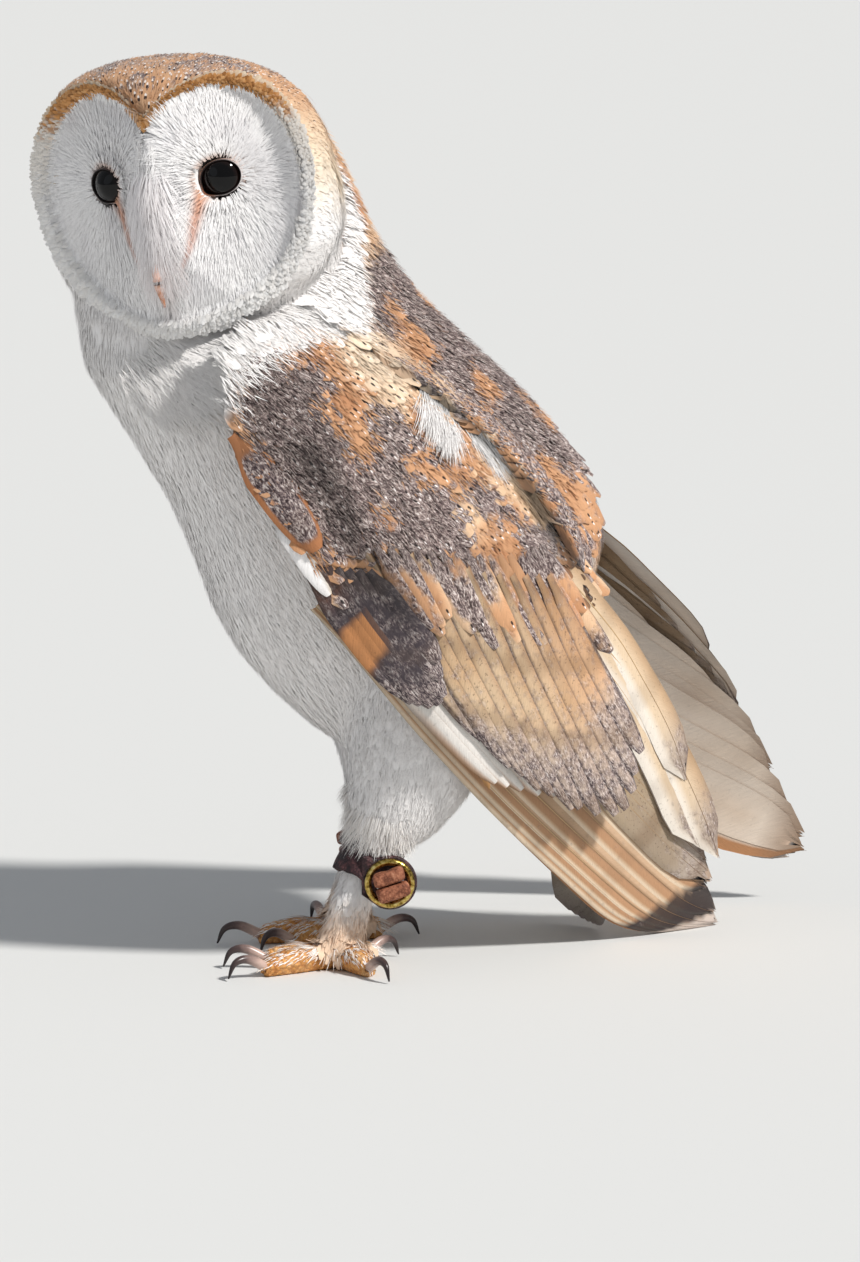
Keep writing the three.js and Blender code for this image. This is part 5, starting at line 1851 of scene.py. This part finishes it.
# The grommet is a small circle spun round the hole.
bmesh.ops.create_circle(
    ring, segments=14, radius=anklet["ring"][1], matrix=Matrix.Translation((anklet["ring"][0], -1.7, 0))
)
bmesh.ops.spin(
    ring, geom=ring.verts[:] + ring.edges[:], cent=(0, 0, 0), axis=(0, 1, 0), dvec=(0, 0, 0),
    angle=2 * math.pi, steps=44, use_merge=True, use_duplicate=False
)
# The button: two folds of a strap, one above the other, and the stem that goes through the hole.
folds = [
    ((-0.3, -6.2, 2.9), (10.4, 6, 4.6), -0.32),
    ((1.3, -6.2, -2.1), (11, 6, 4.8), -0.32),
    ((0, -1.6, -0.2), (5.4, 9, 6.2), 0),
]
for at, size, tilt in folds:
    bmesh.ops.create_cube(
        button, size=1,
        matrix=Matrix.Translation(at) @ Matrix.Rotation(tilt, 4, "Y") @ Matrix.Diagonal((*size, 1))
    )
bevelled(button, 1.4, 4)
bmesh.ops.subdivide_edges(
    button, edges=[e for e in button.edges if e.calc_length() > 2.2], cuts=6, use_grid_fill=True
)
for v in button.verts:
    p = np.array(v.co)
    v.co = p + (cloud(p, 3.0, 4) - 0.5) * 0.7 * unit(p - np.array([0.7, -7.2, -1.4]))


# One fitting on both legs: the same shape, mirrored for the right.
def onLegs(bm, at, name, material, replaced):
    both, mesh = bmesh.new(), bpy.data.meshes.new(name)
    bm.to_mesh(mesh)
    bm.free()
    for _, side, back, _ in legs:
        start = len(both.verts)
        both.from_mesh(mesh)
        both.verts.ensure_lookup_table()
        mirror = Matrix.Translation((side * 21, back, 0)) @ Matrix.Diagonal((side, 1, 1, 1))
        bmesh.ops.transform(both, matrix=mirror @ at, verts=both.verts[start:])
    finished(both, name, [material], replaced)


eyelet = Matrix.Translation(anklet["at"]) @ Matrix.Rotation(math.radians(anklet["turn"]), 4, "Z")
onLegs(cuff, Matrix.Identity(4), "anklets", ankletMaterial, ["anklet_l", "anklet_r"])
onLegs(flap, eyelet, "anklet_flaps", ankletMaterial, [])
onLegs(ring, eyelet, "grommets", brassMaterial, ["grommet_l", "grommet_r"])
onLegs(button, eyelet, "jess_buttons", tanMaterial, ["jess_button_l", "jess_button_r"])

# Toe skin: soft golden orange with small scales and pads;
# creases between scales are brown, and pads a little waxy.
settings = {
    "Roughness": 0.55, "Specular IOR Level": 0.35, "Subsurface Weight": 0.1,
    "Subsurface Radius": (0.003, 0.0012, 0.0008), "Subsurface Scale": 1.0
}
toeMaterial, add, shader = newMaterial("scaly toe skin with soft pads", settings)
place = add("TexCoord").outputs["Object"]
blots = add("TexNoise", {"Scale": 190.0, "Detail": 5.0, "Roughness": 0.62}, {"Vector": place})
scales = add("TexVoronoi", {"Scale": 700.0, "Randomness": 0.85}, {"Vector": place}).outputs["Distance"]
toeStops = [(0.3, "B4733A"), (0.45, "D89A55"), (0.6, "E6B277"), (0.76, "F0D2AE")]
tone = add("ValToRGB", {"stops": toeStops}, {0: blots})
crease = add("MapRange", {1: 0.4, 2: 0.8, 3: 0.0, 4: 0.55}, {0: scales})
tone = add("MixRGB", {2: "9A5A2C"}, {0: crease, 1: tone})
shaded(shader, {"Base Color": tone})
height = add("Math MULTIPLY_ADD", {1: 0.4}, {0: blots, 2: add("Math MULTIPLY", {1: -1.0}, {0: scales})})
bump = add("Bump", {"Strength": 0.9, "Distance": 0.0007}, {"Height": height})
shaded(shader, {"Normal": bump})

# Skin under the down: dull and soft, in the colours of the
# feathers over it, so that a gap between them doesn't show.
skinMaterial, add, shader = newMaterial(
    "skin under the down, with its markings", {"Roughness": 0.85, "Specular IOR Level": 0.2}
)
tint = add("Attribute", {"attribute_name": "tint"})
place = add("TexCoord").outputs["Object"]
down = add("TexNoise", {"Scale": 700.0, "Detail": 3.0}, {"Vector": place})
light = add("Math MULTIPLY_ADD", {1: 0.3, 2: 0.8}, {0: down})
tone = add("VectorMath SCALE", links={0: tint, "Scale": light})
bump = add("Bump", {"Strength": 0.5, "Distance": 0.0006}, {"Height": down})
shaded(shader, {"Base Color": tone, "Normal": bump})

tints, _, _ = bodyMarkings(skinPlaces)
headTints, _, _ = headMarkings(skinPlaces)
tints = np.where(np.isin(skinLabels, [bare.index("head")])[:, None], headTints, tints)
for name in ("l", "r"):
    tints = np.where((skinLabels == bare.index(f"wing_{name}"))[:, None], linear("B08458"), tints)
skinMesh = meshOf(skinPlaces, skinFaces)
skinMesh.name = "skin"
skinMesh.polygons.foreach_set("use_smooth", np.ones(len(skinMesh.polygons), bool))
isToe = isLabel("foot_l", "foot_r") & (faceCentres[:, 2] < 10)
skinMesh.polygons.foreach_set("material_index", isToe.astype(np.int32))
addColours(skinMesh, "tint", tints)
dressed(skinMesh, [skinMaterial, toeMaterial], [*flesh, *feet])


# The camera is a little above the breast and far off, so the owl is seen from its left front.
def aimed(thing, at):
    thing.rotation_euler = (Vector(at) - thing.location).to_track_quat("-Z", "Y").to_euler()


view = {"from": (2.3617, -1.0587, 0.5165), "to": (0.0157, -0.01424, 0.1098), "lens": 222.5}
camera = linked("camera", bpy.data.cameras.new("camera"))
camera.location = view["from"]
camera.data.lens = view["lens"]
camera.data.sensor_width = 36
camera.data.clip_end = 20
aimed(camera, view["to"])
bpy.context.scene.camera = camera

# A plain pale floor and a soft studio: a warm sun from the owl's left back, and cool light all round.
studio = dict(floor="DEDEDC", sun=(30, 46, 3.5, 6), fill=2.5, round=0.34)
bm = bmesh.new()
bmesh.ops.create_grid(bm, x_segments=2, y_segments=2, size=6)
floorMesh = bpy.data.meshes.new("floor")
bm.to_mesh(floorMesh)
bm.free()
floor = linked("floor", floorMesh)
floorMaterial, _, _ = newMaterial(
    "matt pale floor", {"Roughness": 0.9, "Base Color": (*linear(studio["floor"]), 1)}
)
floorMesh.materials.append(floorMaterial)


def lamp(name, kind, place, power, colour, size):
    data = bpy.data.lights.new(name, kind)
    data.energy, data.color = power, colour
    if kind == "SUN":
        data.angle = math.radians(size)
    else:
        data.shape, data.size = "DISK", size
    thing = linked(name, data)
    thing.location = place
    aimed(thing, (0, 0, 0.15))


azimuth, height = math.radians(studio["sun"][0]), math.radians(studio["sun"][1])
sunPlace = (
    3 * math.cos(azimuth) * math.cos(height), 3 * math.sin(azimuth) * math.cos(height),
    3 * math.sin(height) + 0.15
)
lamp("sun", "SUN", sunPlace, studio["sun"][2], (1.0, 0.98, 0.95), studio["sun"][3])
lamp("fill", "AREA", (0.6, -2.4, 1.1), studio["fill"], (0.84, 0.91, 1.0), 1.8)
world = bpy.data.worlds.new("studio")
bpy.context.scene.world = world
world.use_nodes = True
background = world.node_tree.nodes["Background"]
background.inputs["Color"].default_value = (0.88, 0.93, 1.0, 1)
background.inputs["Strength"].default_value = studio["round"]
bpy.context.scene.view_settings.view_transform = "Standard"
